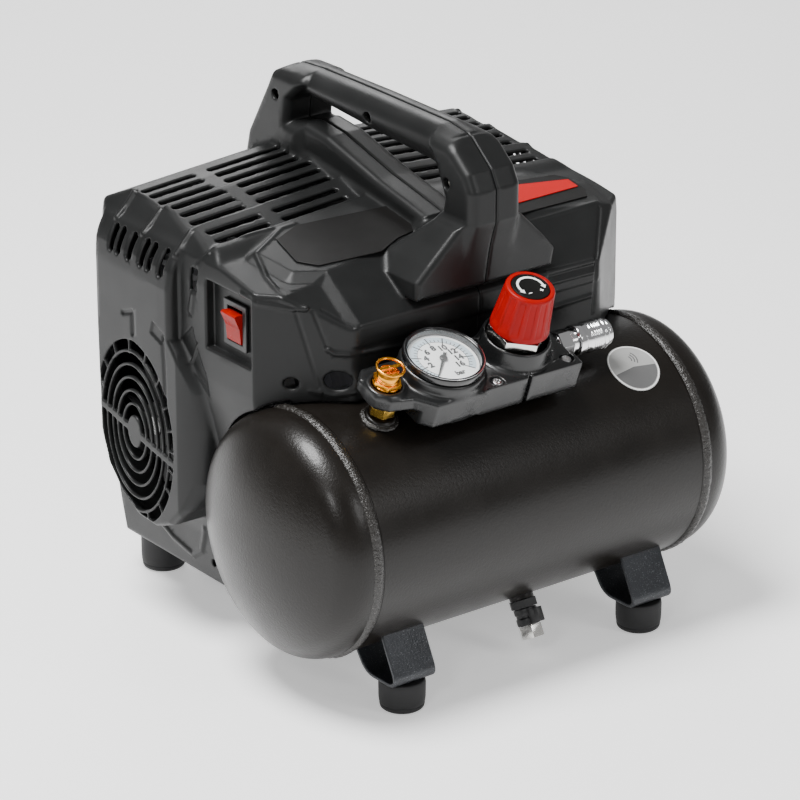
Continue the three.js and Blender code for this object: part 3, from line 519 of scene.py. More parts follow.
def roof_relief(u, y):
    """How far the louvred roof stands below the plain roof: each group sinks forward from its back lip."""
    sink = np.zeros(np.broadcast(u, y).shape, np.float32)
    for front, back in ROOF_GROUPS:
        slope = ROOF_STEP * (back - y) / (back - front)
        sink = np.where((y > front) & (y <= back), slope + 0 * u, sink)
    return sink * ramp(u, *SPINE_EDGE)


def fill_line(points, gap=9.0):
    """A line with extra points, so that it follows a bent surface."""
    out = [points[0]]
    for p, q in zip(points, points[1:]):
        n = max(1, int(math.dist(p, q) / gap))
        out += [tuple(a + (b - a) * i / n for a, b in zip(p, q)) for i in range(1, n + 1)]
    return out


class Field:
    """A distance field on a regular grid, shaped by cuts and additions that touch only their own box."""

    def __init__(self, low, high, step):
        self.low, self.step = low, step
        self.x, self.y, self.z = grid(low, high, step)
        self.d = None

    def part(self, box):
        """The field and its coordinates inside a box."""
        spans = []
        for axis, (a, b) in zip((self.x, self.y, self.z), box):
            values = axis.ravel()
            spans.append(slice(int(np.searchsorted(values, a)), int(np.searchsorted(values, b))))
        sx, sy, sz = spans
        return self.d[sx, sy, sz], self.x[sx], self.y[:, sy], self.z[:, :, sz]

    def cut(self, box, shape, r=0.0):
        """Cuts a shape away inside a box, with the new edge rounded."""
        d, x, y, z = self.part(box)
        d[...] = without(d, shape(x, y, z), r)

    def add(self, box, shape, r=0.0):
        """Adds a shape inside a box, with a fillet."""
        d, x, y, z = self.part(box)
        d[...] = either(d, shape(x, y, z), r)

    def sink(self, box, plan, depth, soft=1.2):
        """Lowers the skin inside an outline, with a short slope at the edge."""
        d, x, y, z = self.part(box)
        np.add(d, depth * ramp(-plan(x, y, z), 0, soft), out=d)

    def raise_line(self, points, r, bury, blend=1.2):
        """A rounded rib along the surface."""
        p = self.settle(fill_line(points), bury)
        self.add(self.around(p, r + 4), lambda x, y, z: wire(p, r, x, y, z), blend)

    def groove_line(self, points, r, lift, blend=0.8):
        """A rounded groove along the surface."""
        p = self.settle(fill_line(points), -lift)
        self.cut(self.around(p, r + 4), lambda x, y, z: wire(p, r, x, y, z), blend)

    def around(self, points, margin):
        """The box round some points, with a margin."""
        p = np.array(points, float)
        return [(a - margin, b + margin) for a, b in zip(p.min(0), p.max(0))]

    def settle(self, points, depth=0.0):
        """Points moved along the slope of the field onto its surface, or a depth under it."""
        p = np.array(points, float)
        for _ in range(4):
            gap = self.sample((p - self.low) / self.step) + depth
            p = p - gap[:, None] * self.slope_at(p)
        return p

    def slope_at(self, points):
        """Unit normals of the field at points given in its own millimetres."""
        normals = np.empty((len(points), 3), np.float32)
        for axis in range(3):
            nudge = np.zeros(3)
            nudge[axis] = 0.7
            ahead = self.sample((points - self.low) / self.step + nudge)
            behind = self.sample((points - self.low) / self.step - nudge)
            normals[:, axis] = ahead - behind
        return normals / np.maximum(np.linalg.norm(normals, axis=1, keepdims=True), 1e-9)

    def sample(self, index):
        """The field between its grid points, by linear interpolation."""
        index = np.clip(index, 0, np.array(self.d.shape) - 1.001)
        base = index.astype(int)
        t = index - base
        total = 0.0
        for corner in itertools.product((0, 1), repeat=3):
            c = np.array(corner)
            weight = np.prod(np.where(c == 1, t, 1 - t), axis=1)
            total = total + weight * self.d[tuple((base + c).T)]
        return total


def brick(x, y, z, box, r=0.0):
    """Signed distance to a box with rounded edges."""
    q = [np.abs(c - (a + b) / 2) - ((b - a) / 2 - r) for c, (a, b) in zip((x, y, z), box)]
    outside = np.sqrt(sum(np.maximum(k, 0) ** 2 for k in q))
    return outside + np.minimum(np.maximum(np.maximum(q[0], q[1]), q[2]), 0) - r


def rod(a, b, centre_a, centre_b, r):
    """Signed distance to a round bar; a and b are the coordinates across it."""
    return np.sqrt((a - centre_a) ** 2 + (b - centre_b) ** 2) - r


def opened(points, low):
    """An outline with its lower edge moved down, so that the hollow opens at the bottom."""
    return [(a, b - low if b < 40 else b) for a, b in points]


def hull(f, left, drop=0.0):
    """The shell's outside, or its inside when drop is the wall thickness."""
    x, y, z = f.x, f.y, f.z
    low = 30 if drop else 0
    side = outline(opened(SIDE_LINE, low), y, z) + drop
    front = outline(opened(FRONT_LINE, low), x, z) + drop
    plan = outline(PLAN_LINE, x, y) + drop
    top = np.minimum(roof_height(x, y), NOSE_Z + (y - NOSE_Y) * NOSE_SLOPE)
    roof = (z - top + roof_relief(x, y) + hood_sink(x, y, left) + drop) * ROOF_SCALE
    main = both(both(both(side, plan, 3), front, 3), roof, 2)
    cowl = both(outline(COWL_END, y, z) + drop, outline(COWL_FRONT, x, z) + drop, 4)
    cowl = both(both(cowl, outline(COWL_PLAN, x, y) + drop, 8), roof, 2)
    return either(main, cowl, 2.5)


def handle(f, drop=0.0):
    """The carry handle with its two posts, the spine under it and the skirt of the front post."""
    x, y, z = np.abs(f.x), f.y, f.z

    def plate(line, half, r):
        return both(outline(line, y, z) + drop, x - half + drop, r)

    arch = z + ARCH * x * x - HANDLE_TOP + drop
    rear = both(plate(REAR_POST, POST_HALF, 6), arch, 4)
    front = both(plate(FRONT_POST, POST_HALF, 6), arch, 4)
    skirt = both(outline(GUSSET, x, z) + drop, outline(GUSSET_SIDE, y, z) + drop, 4)
    bow = either(either(rear, front), plate(GRIP, GRIP_HALF, 12), 2)
    return either(either(bow, plate(SPINE, SPINE_HALF, 5), 5), skirt, 4)


# The fan guard: rings squashed along Y, a straight bar right across, and thin ribs in the outer ring.
GUARD_SQUASH, RING_COUNT, RING_FIRST, RING_PITCH, RING_HALF = 0.72, 6, 14.5, 8.9, 3.4
THIN_RIB, OUTER_RING, GUARD_MARGIN, GUARD_X = 1.6, 53, 3.5, 146
GUARD_RIBS = [(0.18, 5), (math.pi + 0.18, 5)]
GUARD_RIBS += [(0.5 + 0.33 * i, THIN_RIB) for i in range(18)]


def guard_slots(x, y, z):
    """The openings of the fan guard: rings cut by ribs, inside the outline of the cowl."""
    a, b = y - FAN_Y, z - FAN_Z
    r = np.sqrt((a / GUARD_SQUASH) ** 2 + b * b)
    slots = np.float32(1e3)
    for i in range(RING_COUNT):
        slots = np.minimum(slots, np.abs(r - (RING_FIRST + RING_PITCH * i)) - RING_HALF)
    for angle, width in GUARD_RIBS:
        c, s = math.cos(angle), math.sin(angle)
        rib = np.maximum(np.abs(b * c - a * s) - width / 2, -(a * c + b * s))
        if width == THIN_RIB:
            rib = np.maximum(rib, OUTER_RING - r)
        slots = np.maximum(slots, -rib)
    return np.maximum(slots, np.maximum(outline(COWL_END, y, z) + GUARD_MARGIN, GUARD_X - x))


def capsule(a, b, start, end, centre, r):
    """Signed distance to a slot with round ends, along a."""
    return rod(a, b, np.clip(a, start + r, end - r), centre, r)


def housing_field(left):
    """One half of the housing, drawn on the +X side; build_housing mirrors the left one."""
    f = Field(HOUSING_LOW, HOUSING_HIGH, HOUSING_STEP)
    outer = either(hull(f, left), handle(f), 3)
    inner = either(hull(f, left, WALL), handle(f, HANDLE_WALL), 2)
    if left:
        inner = np.maximum(inner, -brick(f.x, f.y, f.z, POCKET_WALL))
    f.d = outer
    details(f, left)
    f.d = without(f.d, inner)
    f.d = without(f.d, rod(f.y, f.z, TANK_Y, TANK_Z, np.interp(f.x, HUG_X, HUG_R)), 1.0)
    openings(f, left)
    f.d = np.maximum(np.maximum(f.d, SEAM_HALF - f.x), f.z - TOP_Z)
    return f


# Lines on the outside skin, as (x, y, z) points that settle onto it; grooves with their radius.
LEFT_RIDGES = [
    [(77, 137, 276), (87.5, 137, 275.8), (118, 121.5, 271), (126, 99, 264), (130, 77, 257), (119.6, 66, 252)],
    [(143.2, 100, 257), (142.1, 86.4, 254.5), (125.5, 71.1, 251), (119.6, 66, 252)],
    [(110, 58, 225.3), (106.3, 54.7, 222.3), (89.8, 47, 221.7), (57, 47, 219.5)],
    [(118, 64.5, 197.5), (107, 55.5, 194.5), (96, 47.5, 197)],
    [(144.5, 147.3, 261), (138.2, 142, 268), (130.6, 146, 271), (92.4, 140.4, 275.5)],
]
LEFT_GROOVES = [
    ([(110.3, 58.8, 254), (106.4, 55.9, 251), (97, 47.5, 240)], 0.9),
    ([(124.5, 70.2, 249), (113.8, 61.3, 200)], 1.3),
    ([(116.5, 63.6, 250), (110, 58, 226.5)], 1.1),
    ([(112, 60, 196), (112, 60, 190)], 1.0),
]
RIGHT_RIDGES = [
    [(48, 73, 268), (76.5, 75, 266), (120, 79, 262)],
    [(54, 47, 241.5), (90.9, 46.5, 240.5)],
    [(60, 47, 216.1), (90, 47, 217)],
    [(57, 47, 233.5), (91, 47, 233)],
]
RIGHT_GROOVES = [
    ([(119, 76, 259), (105, 57, 252), (94, 47.5, 240), (92, 47, 205)], 1.4),
    ([(55, 47, 238), (91, 47, 237.5)], 1.2),
]
COWL_GROOVES = [
    ([(156, 218.9, 209), (156, 208, 213), (156, 208, 198)], 1.9),
    ([(156, 172.5, 206), (156.5, 170.5, 160)], 1.5),
]
CHAMFER_RIBS = [[(130, 237.3, 280), (142.7, 237.7, 265)], [(131, 206.2, 278), (144.4, 206.2, 264)],
                [(134, 168.7, 274), (146, 168.2, 261.5)]]
# Flat patches of the cowl in (y, z), with how far they sink.
COWL_FACETS = [
    ([(184, 215), (170.8, 210), (174, 201), (187.5, 205.5)], 1.6),
    ([(152, 219.7), (166, 205.7), (153.8, 194.9), (147.2, 208.2)], 2.0),
    ([(154, 193), (147, 207), (137, 189), (136, 174)], 1.8),
    ([(147, 243), (152, 243), (156, 228), (150, 226)], -1.6),
]
# Spans along Y of the sunk panels round the chamfer's slots.
CHAMFER_PANELS = [(230, 238), (222, 230), (209, 218), (195, 203.5), (186.5, 194.5), (173, 181)]
BACK_PANEL = [(24, 281, 62), (106, 281, 62), (114, 281, 74), (114, 281, 206), (100, 281, 222),
              (24, 281, 222), (24, 281, 62)]
COWL_CHIN = [(119.1, 230, 50.2), (117.9, 216.5, 43.8), (116.9, 194.7, 39.1), (119, 184, 46),
             (122.5, 177, 64)]
CHIN_HOLE, CHIN_HOLE_R = (171, 41.5), 2.4


def details(f, left):
    """Creases and recesses in the outside skin. Each cut names the box that it may touch."""
    for line in CHAMFER_RIBS:
        f.raise_line(line, 2.3, 1.0, 0.8)
    for line, r in COWL_GROOVES:
        f.groove_line(line, r, r * 0.45, 1.0)
    f.groove_line(BACK_PANEL, 1.6, 0.5)
    f.raise_line(COWL_CHIN, 2.2, 0.9, 1.5)
    f.cut(((106, 130), (164, 178), (34, 48)), lambda x, y, z: rod(y, z, *CHIN_HOLE, CHIN_HOLE_R), 0.6)
    for line, depth in COWL_FACETS:
        f.sink(((132, 160), (128, 192), (168, 244)), lambda x, y, z: outline(line, y, z), depth)
    f.cut(((138, 160), (142, 158), (240, 262)), lambda x, y, z: brick(x, y, z, COWL_VENT, 0.8), 0.6)
    low, high = CHAMFER_Z
    for front, back in CHAMFER_PANELS:
        panel = [(front, low), (back, low), (back, high), (front, high)]
        f.sink(((130, 160), (150, 244), (240, 270)), lambda x, y, z: outline(panel, y, z), 1.2)
    for line in LEFT_RIDGES if left else RIGHT_RIDGES:
        f.raise_line(line, 1.5 if left else 1.4, 0.7)
    for line, r in LEFT_GROOVES if left else RIGHT_GROOVES:
        f.groove_line(line, r, r * 0.4)
    if left:
        f.cut(((130, 160), (82, 146), (202, 263)), lambda x, y, z: brick(x, y, z, SWITCH_POCKET, 1.0), 1.2)
        for box, centre, radii, r in DIMPLES:
            f.cut(box, lambda x, y, z: ball(x, y, z, centre, radii), r)
    seam = ((-2, 3), (26, 284), (22, 349))
    f.cut(seam, lambda x, y, z: np.sqrt((x * 0.8) ** 2 + np.maximum(-f.part(seam)[0], 0) ** 2) - 0.8)


def ball(x, y, z, centre, radii):
    """Nearly the signed distance to an ellipsoid."""
    scaled = [(c - m) / r for c, m, r in zip((x, y, z), centre, radii)]
    return (np.sqrt(sum(k * k for k in scaled)) - 1) * min(radii)


def openings(f, left):
    """Everything that goes right through the wall."""
    for row in SLOT_ROWS:
        inner_end = 20 if row > HANDLE_FOOT_Y else 27
        for x0, x1 in ((inner_end, 77), (87, 128)):
            box = ((x0 - 4, x1 + 4), (row - 6, row + 6), (252, 300))
            f.cut(box, lambda x, y, z: capsule(x, y, x0, x1, row, ROOF_SLOT_R) + 0 * z, 0.6)
    for row in CHAMFER_ROWS:
        box = ((134, 160), (row - 6, row + 6), (242, 266))
        f.cut(box, lambda x, y, z: capsule(z, y, *CHAMFER_SLOT, row, CHAMFER_SLOT_R) + 0 * x, 0.6)
    f.cut(((142, 160), (150, 256), (66, 200)), guard_slots, 0.5)
    if left:
        f.cut(((126, 160), (95, 128), (212, 250)), lambda x, y, z: brick(x, y, z, SWITCH_HOLE))
        for cy, cz, cx in WELLS:
            box = ((cx - 8, cx + 3), (cy - 6, cy + 6), (cz - 6, cz + 6))
            f.cut(box, lambda x, y, z: np.maximum(rod(y, z, cy, cz, WELL_R), cx - WELL_DEPTH - x), 0.5)


def field_mesh(f, name, material, stands_for, mapping=None, adapt=0.04):
    """One object from a field, with normals taken from the field itself."""
    points, triangles, quads = skin(f.d, f.low, f.step, adapt)
    normals = f.slope_at(points)
    if mapping:
        moved = mapping(points)
        normals = mapping(points + normals) - moved
        points = moved
        flipped = np.linalg.det(mapping(np.eye(3)) - mapping(np.zeros((1, 3)))) < 0
        if flipped:
            triangles, quads = triangles[:, ::-1], quads[:, ::-1]
    loops = np.concatenate([triangles.ravel(), quads.ravel()]).astype(np.int32)
    starts = np.concatenate([3 * np.arange(len(triangles)), triangles.size + 4 * np.arange(len(quads))])
    mesh = bpy.data.meshes.new(name)
    mesh.vertices.add(len(points))
    mesh.vertices.foreach_set("co", to_frame(points).astype(np.float32).ravel())
    mesh.loops.add(len(loops))
    mesh.loops.foreach_set("vertex_index", loops)
    mesh.polygons.add(len(starts))
    mesh.polygons.foreach_set("loop_start", starts.astype(np.int32))
    mesh.update(calc_edges=True)
    mesh.shade_smooth()
    mesh.normals_split_custom_set_from_vertices(normals.tolist())
    return finish_piece(mesh, name, material, stands_for)


def mirror_x(points):
    """The other side of the machine."""
    x, y, z = xyz(points)
    return np.stack([-x, y, z], 1)


def build_housing():
    for side, left in (("left", True), ("right", False)):
        field_mesh(housing_field(left), f"housing_shell_{side}", PLASTIC, [f"housing_{side}"],
                   mirror_x if left else None)


# ---------------------------------------------------------------- tank
BEAD = [(79.6, 127.7), (80.4, 128.1), (81.2, 128.9), (81.7, 129.8), (81.9, 130.7), (82.0, 131.5),
        (81.9, 132.3), (81.6, 133.2), (81.1, 134.1), (80.4, 134.9), (79.6, 135.3)]
BEAD_LIMIT = 81.88


def at_tank(points):
    """A piece turned about +Z becomes one turned about the tank's own axis, pointing +X."""
    return place(turn_to_x(points), 0, TANK_Y, TANK_Z)


def dome_line():
    """A dished end: a straight skirt, a tight knuckle and a wide crown that meet smoothly."""
    c = TANK_R - KNUCKLE_R
    crown = (DOME_DEPTH ** 2 + c * c - KNUCKLE_R ** 2) / (2 * (DOME_DEPTH - KNUCKLE_R))
    a1 = math.atan2(c, crown - DOME_DEPTH)
    line = [(TANK_R - TANK_WALL, 0.0), (TANK_R, 0.0), (TANK_R, SKIRT * 0.5)]
    for i in range(13):
        a = (math.pi / 2 - a1) * i / 12
        line.append((c + KNUCKLE_R * math.cos(a), SKIRT + KNUCKLE_R * math.sin(a)))
    for i in range(1, 15):
        a = a1 * (1 - i / 14)
        line.append((crown * math.sin(a), SKIRT + DOME_DEPTH - crown + crown * math.cos(a)))
    inner = [(max(r - TANK_WALL, 0.0), h - TANK_WALL) for r, h in line[::-1] if h > SKIRT]
    return [(r, SHELL_HALF + h) for r, h in line + inner]


def bead_wobble(a, r, h):
    """The ripples a welding torch leaves, uneven along the seam, and never higher than the CAD bead."""
    ripple = 0.1 * math.sin(a * 96 + 1.6 * math.sin(a * 7) + (h - 131) * 0.6)
    lumps = noise.noise(Vector((9 * math.cos(a), 9 * math.sin(a), h * 0.4)))
    spatter = noise.noise(Vector((52 * math.cos(a), 52 * math.sin(a), h * 0.9)))
    rough = (ripple + 0.4 * lumps + 0.35 * spatter) * min(1.0, max(0.0, (r - 80.1) / 0.6)) - 0.3
    return min(rough, BEAD_LIMIT - r)


def build_tank():
    barrel = [(TANK_R - TANK_WALL, -BARREL_HALF)]
    barrel += [(TANK_R, BARREL_HALF * (i / 6 - 1)) for i in range(13)]
    barrel += [(TANK_R - TANK_WALL, BARREL_HALF)]
    piece("tank_barrel", lathe(barrel, 160), TANK_PAINT, ["tank_shell"], at_tank)
    for side, flip in SIDES:
        def at_end(points):
            return at_tank(points) * (flip, 1, 1)

        piece(f"tank_dome_{side}", lathe(dome_line(), 160), TANK_PAINT, [f"tank_end_{side}"],
              at_end)
        piece(f"weld_ripple_{side}", lathe(BEAD, 720, bead_wobble), GLINTING_WELD, [f"weld_bead_{side}"],
              at_end, angle=60)
    boss = turned([(5, -5), (10, -5), (10, 2.5), (8.5, 4), (5, 4)], 0.8)
    piece("outlet_weld_boss", boss, TANK_PAINT, ["outlet_boss"], on_outlet)
    ring = turned([(9.6, 0.4), (12.6, 0.1), (12.2, 1.4), (9.8, 2.4)], 0.6, 96,
                  wobble=lambda a, r, h: 0.3 * math.sin(a * 9 + 2 * math.sin(a * 4)))
    piece("outlet_weld_ring", ring, GLINTING_WELD, mapping=on_outlet)
    boss = turned(tube_line(3, 8, -5, 2.5), 0.6)
    piece("drain_weld_boss", boss, TANK_PAINT, ["drain_boss"], on_drain)


def wrap_on_tank(points):
    """Flat sticker coordinates (right, up, height over the tank wall) wrapped onto the barrel."""
    x, y, h = xyz(points)
    angle = STICKER_LEAN - y / TANK_R
    r = TANK_R + h
    return np.stack([x + STICKER_X, TANK_Y - r * np.sin(angle), TANK_Z + r * np.cos(angle)], 1)


def disc_plate(r0, r1, h0, h1, rings=10, segments=96, start=0.0, sweep=2 * math.pi):
    """A flat ring or disc made of many small faces, so that it can be wrapped on a curve."""
    points, faces = [], []
    whole = sweep == 2 * math.pi
    columns = segments if whole else segments + 1
    for h in (h0, h1):
        for i in range(rings + 1):
            r = r0 + (r1 - r0) * i / rings
            for j in range(columns):
                a = start + sweep * j / segments
                points.append((r * math.cos(a), r * math.sin(a), h))
    layer = (rings + 1) * columns

    def v(k, i, j):
        return k * layer + i * columns + j % columns

    for i in range(rings):
        for j in range(segments):
            faces.append([v(1, i, j), v(1, i + 1, j), v(1, i + 1, j + 1), v(1, i, j + 1)])
            faces.append([v(0, i, j), v(0, i, j + 1), v(0, i + 1, j + 1), v(0, i + 1, j)])
    for j in range(segments):
        faces.append([v(0, rings, j), v(0, rings, j + 1), v(1, rings, j + 1), v(1, rings, j)])
        if r0 > 0:
            faces.append([v(0, 0, j + 1), v(0, 0, j), v(1, 0, j), v(1, 0, j + 1)])
    if not whole:
        for i in range(rings):
            faces.append([v(0, i, 0), v(0, i + 1, 0), v(1, i + 1, 0), v(1, i, 0)])
            faces.append([v(0, i + 1, segments), v(0, i, segments), v(1, i, segments),
                          v(1, i + 1, segments)])
    return np.array(points), faces


def build_sticker():
    """A silver disc with a white edge, a grey lower part and a generic sound wave."""
    top, ink = 0.5, 0.56
    piece("sticker_disc", disc_plate(0.01, 18.0, 0.3, top), SILVER_PRINT, ["noise_label"],
          wrap_on_tank)
    piece("sticker_edge", disc_plate(16.8, 17.5, top, ink, 2), WHITE_PRINT,
          mapping=wrap_on_tank)
    lower = disc_plate(0.01, 16.2, top, 0.55, 10, 64, math.radians(188), math.radians(164))
    piece("sticker_lower_tone", lower, GREY_PRINT, mapping=wrap_on_tank)
    for i, r in enumerate((2.6, 4.6, 6.6)):
        wave = disc_plate(r, r + 0.8, top, ink, 1, 16, math.radians(-40), math.radians(80))
        piece(f"sticker_wave_{i}", wave, GREY_PRINT,
              mapping=lambda p: wrap_on_tank(place(p, -1, 6.4)))


# ---------------------------------------------------------------- feet and brackets
def strip_outline(line, t):
    """A closed outline of even thickness round an open line of 2-D points."""
    left, right = [], []
    for i, p in enumerate(line):
        before = Vector(p) - Vector(line[max(i - 1, 0)])
        after = Vector(line[min(i + 1, len(line) - 1)]) - Vector(p)
        u = (before.normalized() + after.normalized()).normalized()
        n = Vector((-u.y, u.x))
        run = after if after.length else before
        k = t / 2 / max(0.4, n.dot(Vector((-run.y, run.x)).normalized()))
        left.append(tuple(Vector(p) + n * k))
        right.append(tuple(Vector(p) - n * k))
    return left + right[::-1]


def along_x(points):
    """A prism drawn in (back, up) and raised along the tank, in drawing axes."""
    return points[:, [2, 0, 1]]


def build_brackets():
    line = rounded([(0.8, 53.6), (-15.8, 21.65), (17, 21.65), (27.6, 36.2)], 10.0, 8)
    strap = prism(strip_outline(line, PLATE), FOOT_X - 16, FOOT_X + 16)
    bolt = turned([(0, 22.9), (6.5, 22.9), (6.5, 24.1), (3.6, 24.3), (3.6, 27.5), (0, 28)], 0.5, 40)
    for side, flip in SIDES:
        piece(f"bracket_strap_{side}", strap, HAMMERED, [f"foot_bracket_{side}"],
              lambda p: along_x(p) * (flip, 1, 1), bevel=0.7)
        piece(f"foot_bolt_{side}", bolt, ZINC, mapping=lambda p: place(p, flip * FOOT_X))
    line = rounded([(275, 44), (275, 28.25), (124, 28.25), (113.2, 54.4)], 4, 4)
    tray = prism(strip_outline(line, PLATE), -108, 108)
    piece("base_tray", tray, HAMMERED, ["base_frame"], along_x, bevel=0.6)


def build_feet():
    for y, top, row in ((0, 20.1, "front"), (REAR_FOOT_Y, 26.7, "rear")):
        profile = [(3.3, 6), (7.5, 6), (7.5, 0), (12.4, 0), (14.0, 1.2), (14.4, 3.2), (14.0, 4.0),
                   (14.6, 4.8), (14.9, 8), (15, top - 3), (14.6, top - 0.6), (13.8, top), (3.3, top)]
        for side, flip in reversed(SIDES):
            piece(f"foot_{row}_{side}_rubber", turned(profile, 0.7, 72), RUBBER,
                  [f"foot_{row}_{side}"], lambda p: place(p, flip * FOOT_X, y))


# ---------------------------------------------------------------- control block
BLOCK_LINE = [(-106, 12), (-106, -7), (-99, -14), (-84, -17), (-73, -28), (40, -28), (40, 15), (30, 20),
              (-99, 20)]
BLOCK_RIDGE = [(-38, -28), (40, -28), (40, -17), (24, -19), (8, -26.5), (-32, -26.5)]
BLOCK_SCREWS = [(-16, 14), (-23, -22), (33, -20)]
BLOCK_FLOOR, BLOCK_TOP, BLOCK_BACK, RIDGE_TOP, ARM_X, ARM_LOW = 8, 27, 20.4, 28.4, -80, 18
BLOCK_NOTCH = ((-3, 0), (-40, -24.5), (0, 40))
# Round seats: where along the block, radius, bottom and edge rounding.
BLOCK_SEATS = [(GAUGE_X, 25.3, 29.6, 0.5), (KNOB_X, 20.2, 30, 1.2), (VALVE_X, 9.4, 25, 0.8)]


def block_field():
    """The control block in its own coordinates, h being the height above the tank wall."""
    f = Field((-116.0, -32.0, 4.0), (44.0, 24.0, 43.0), 0.7)
    x, y, h = f.x, f.y, f.z
    floor = BLOCK_FLOOR - h

    def post(centre, r):
        return rod(x, y, centre, 0, r)

    body = both(outline(BLOCK_LINE, x, y), np.maximum(h - BLOCK_TOP, floor), 2.2)
    gauge = both(post(GAUGE_X, 27.6), h - 35.6, 2.6)
    knob = both(post(KNOB_X, 24.6) + np.maximum(h - BLOCK_TOP, 0) * 0.22, h - 40, 1.6)
    valve = both(post(VALVE_X, 12.5), h - 29, 1.5)
    d = either(either(either(body, gauge, 2.5), knob, 3.5), valve, 2.5)
    d = either(d, both(outline(BLOCK_RIDGE, x, y), h - RIDGE_TOP, 0.8), 0.8)
    d = both(d, floor)
    # The arm to the safety valve hangs free of the tank, and the back is flat.
    d = without(d, np.maximum(x - ARM_X, h - ARM_LOW), 1.2)
    d = both(d, y - BLOCK_BACK, 0.8)
    for centre, r, bottom, edge in BLOCK_SEATS:
        d = without(d, both(post(centre, r), bottom - h), edge)
    d = without(d, both(post(OUTLET_X, 5.3), h - 16))
    d = without(d, brick(x, y, h, BLOCK_NOTCH, 0.4), 0.6)
    for cx, cy in BLOCK_SCREWS:
        d = without(d, both(rod(x, y, cx, cy, 4.4), 25.2 - h), 0.8)
    f.d = np.maximum(d, floor) + 0 * (x + y + h)
    return f


def build_block():
    field_mesh(block_field(), "manifold_block", BLOCK, ["control_block"], on_shoulder, 0.02)
    screw = turned([(0, 24.6), (3.6, 24.6), (3.6, 26.2), (3.0, 27.0), (1.6, 27.2), (1.5, 25.8), (0, 25.8)],
                   0.4, 32)
    for i, (cx, cy) in enumerate(BLOCK_SCREWS):
        piece(f"block_screw_{i}", screw, STEEL, mapping=lambda p: on_shoulder(place(p, cx, cy)))
    fitting = join(turned(tube_line(3.2, 4.7, -4, 19), 0.3, 40), prism(regular(6, 8.6), 6.2, 13.6),
                   turned([(4.9, 13.4), (6.8, 13.4), (6.8, 15.4), (4.9, 15.8)], 0.3, 40))
    piece("outlet_fitting", fitting, NIPPLE_BRASS, ["outlet_nipple"], on_outlet, bevel=0.35)


# ---------------------------------------------------------------- pressure gauge
DIAL_TOP, INK_LOW, INK_TOP, DIAL_MAX = 35.9, 35.94, 36.0, 16
BOLDNESS, POINTER_TURN = 0.055, math.radians(135)


def letters(text, size, cx, cy, h0, h1):
    """Plain built-in letters as thin solids centred on a point."""
    curve = bpy.data.curves.new("digits", "FONT")
    curve.body = text
    curve.size = size
    curve.align_x = "CENTER"
    curve.align_y = "CENTER"
    curve.resolution_u = 3
    curve.offset = BOLDNESS * size
    curve.extrude = (h1 - h0) / 2
    holder = bpy.data.objects.new("digits", curve)
    mesh = bpy.data.meshes.new_from_object(holder)
    points = np.array([tuple(v.co) for v in mesh.vertices]) + np.array([cx, cy, (h0 + h1) / 2])
    faces = [list(p.vertices) for p in mesh.polygons]
    bpy.data.objects.remove(holder)
    bpy.data.curves.remove(curve)
    bpy.data.meshes.remove(mesh)
    return points, faces


def dial_angle(value):
    """Where a pressure stands on the dial, which runs over 270 degrees."""
    return math.radians(225 - 270 * value / DIAL_MAX)


def spun(points, angle):
    """Flat points turned about the origin."""
    c, s = math.cos(angle), math.sin(angle)
    return [(x * c - y * s, x * s + y * c) for x, y in points]


def bar(angle, r0, r1, width, h0, h1):
    """A short radial line."""
    corners = [(r0, -width / 2), (r1, -width / 2), (r1, width / 2), (r0, width / 2)]
    return prism(spun(corners, angle), h0, h1)


def dial_print():
    """The black scale, its numbers and its unit."""
    ink = (INK_LOW, INK_TOP)
    parts = [disc_plate(16.2, 16.5, *ink, 1, 96, dial_angle(DIAL_MAX), math.radians(270))]
    for i in range(2 * DIAL_MAX + 1):
        start, end, width = (14.0, 20.6, 0.8) if i % 4 == 0 else (16.4, 18.6, 0.45)
        parts.append(bar(dial_angle(i / 2), start, end, width, *ink))
    for value in range(2, DIAL_MAX + 1, 2):
        a = dial_angle(value)
        parts.append(letters(str(value), 6.2, 10.9 * math.cos(a), 10.9 * math.sin(a), *ink))
    parts.append(letters("bar", 5.2, 3.0, -14.5, *ink))
    return join(*parts)


def build_gauge():
    case = [(0, 30), (25, 30), (25, 35.6), (26.4, 36.2), (26.4, 39.4), (25.6, 40.6), (24.4, 40.8),
            (23.5, 40.2), (23.3, 35), (0, 35)]
    piece("gauge_bezel_ring", turned(case, 0.5, 128), BEZEL, ["gauge_case"], on_gauge)
    line = turned(tube_line(25.2, 25.6, 40.5, 40.78), 0.1, 128)
    piece("gauge_bright_line", line, CHROME, mapping=on_gauge)
    face = lathe(tube_line(1.3, 22.9, 35.3, DIAL_TOP), 96)
    piece("gauge_face", face, DIAL, ["gauge_dial"], on_gauge)
    band = disc_plate(16.6, 21.0, DIAL_TOP, INK_LOW, 2, 96, dial_angle(DIAL_MAX), math.radians(270))
    piece("gauge_blue_band", band, BLUE_PRINT, mapping=on_gauge)
    piece("gauge_markings", dial_print(), BLACK_PRINT, mapping=on_gauge)
    pointer = [(-1.1, -6.5), (0, -5.4), (1.1, -6.5), (0.9, 0), (0.35, 17), (-0.35, 17), (-0.9, 0)]
    needle = join(prism(spun(pointer, POINTER_TURN), 36.8, 37.3),
                  turned([(0, 36.5), (2.6, 36.5), (2.6, 37.6), (2.0, 38), (0, 38)], 0.3, 32))
    piece("gauge_pointer_needle", needle, NEEDLE, ["gauge_needle"], on_gauge, "needle",
          bevel=0.12)
    window = lathe([(0, 39.3), (23.1, 39.3), (23.1, 40.1), (0, 40.2)], 96)
    piece("gauge_window", window, LENS, ["gauge_lens"], on_gauge)


# ---------------------------------------------------------------- regulator
KNOB_FOOT, CAP_TOP = 46.4, 77.8
FLUTE_LOW, FLUTE_HIGH = 3.0, 29.4


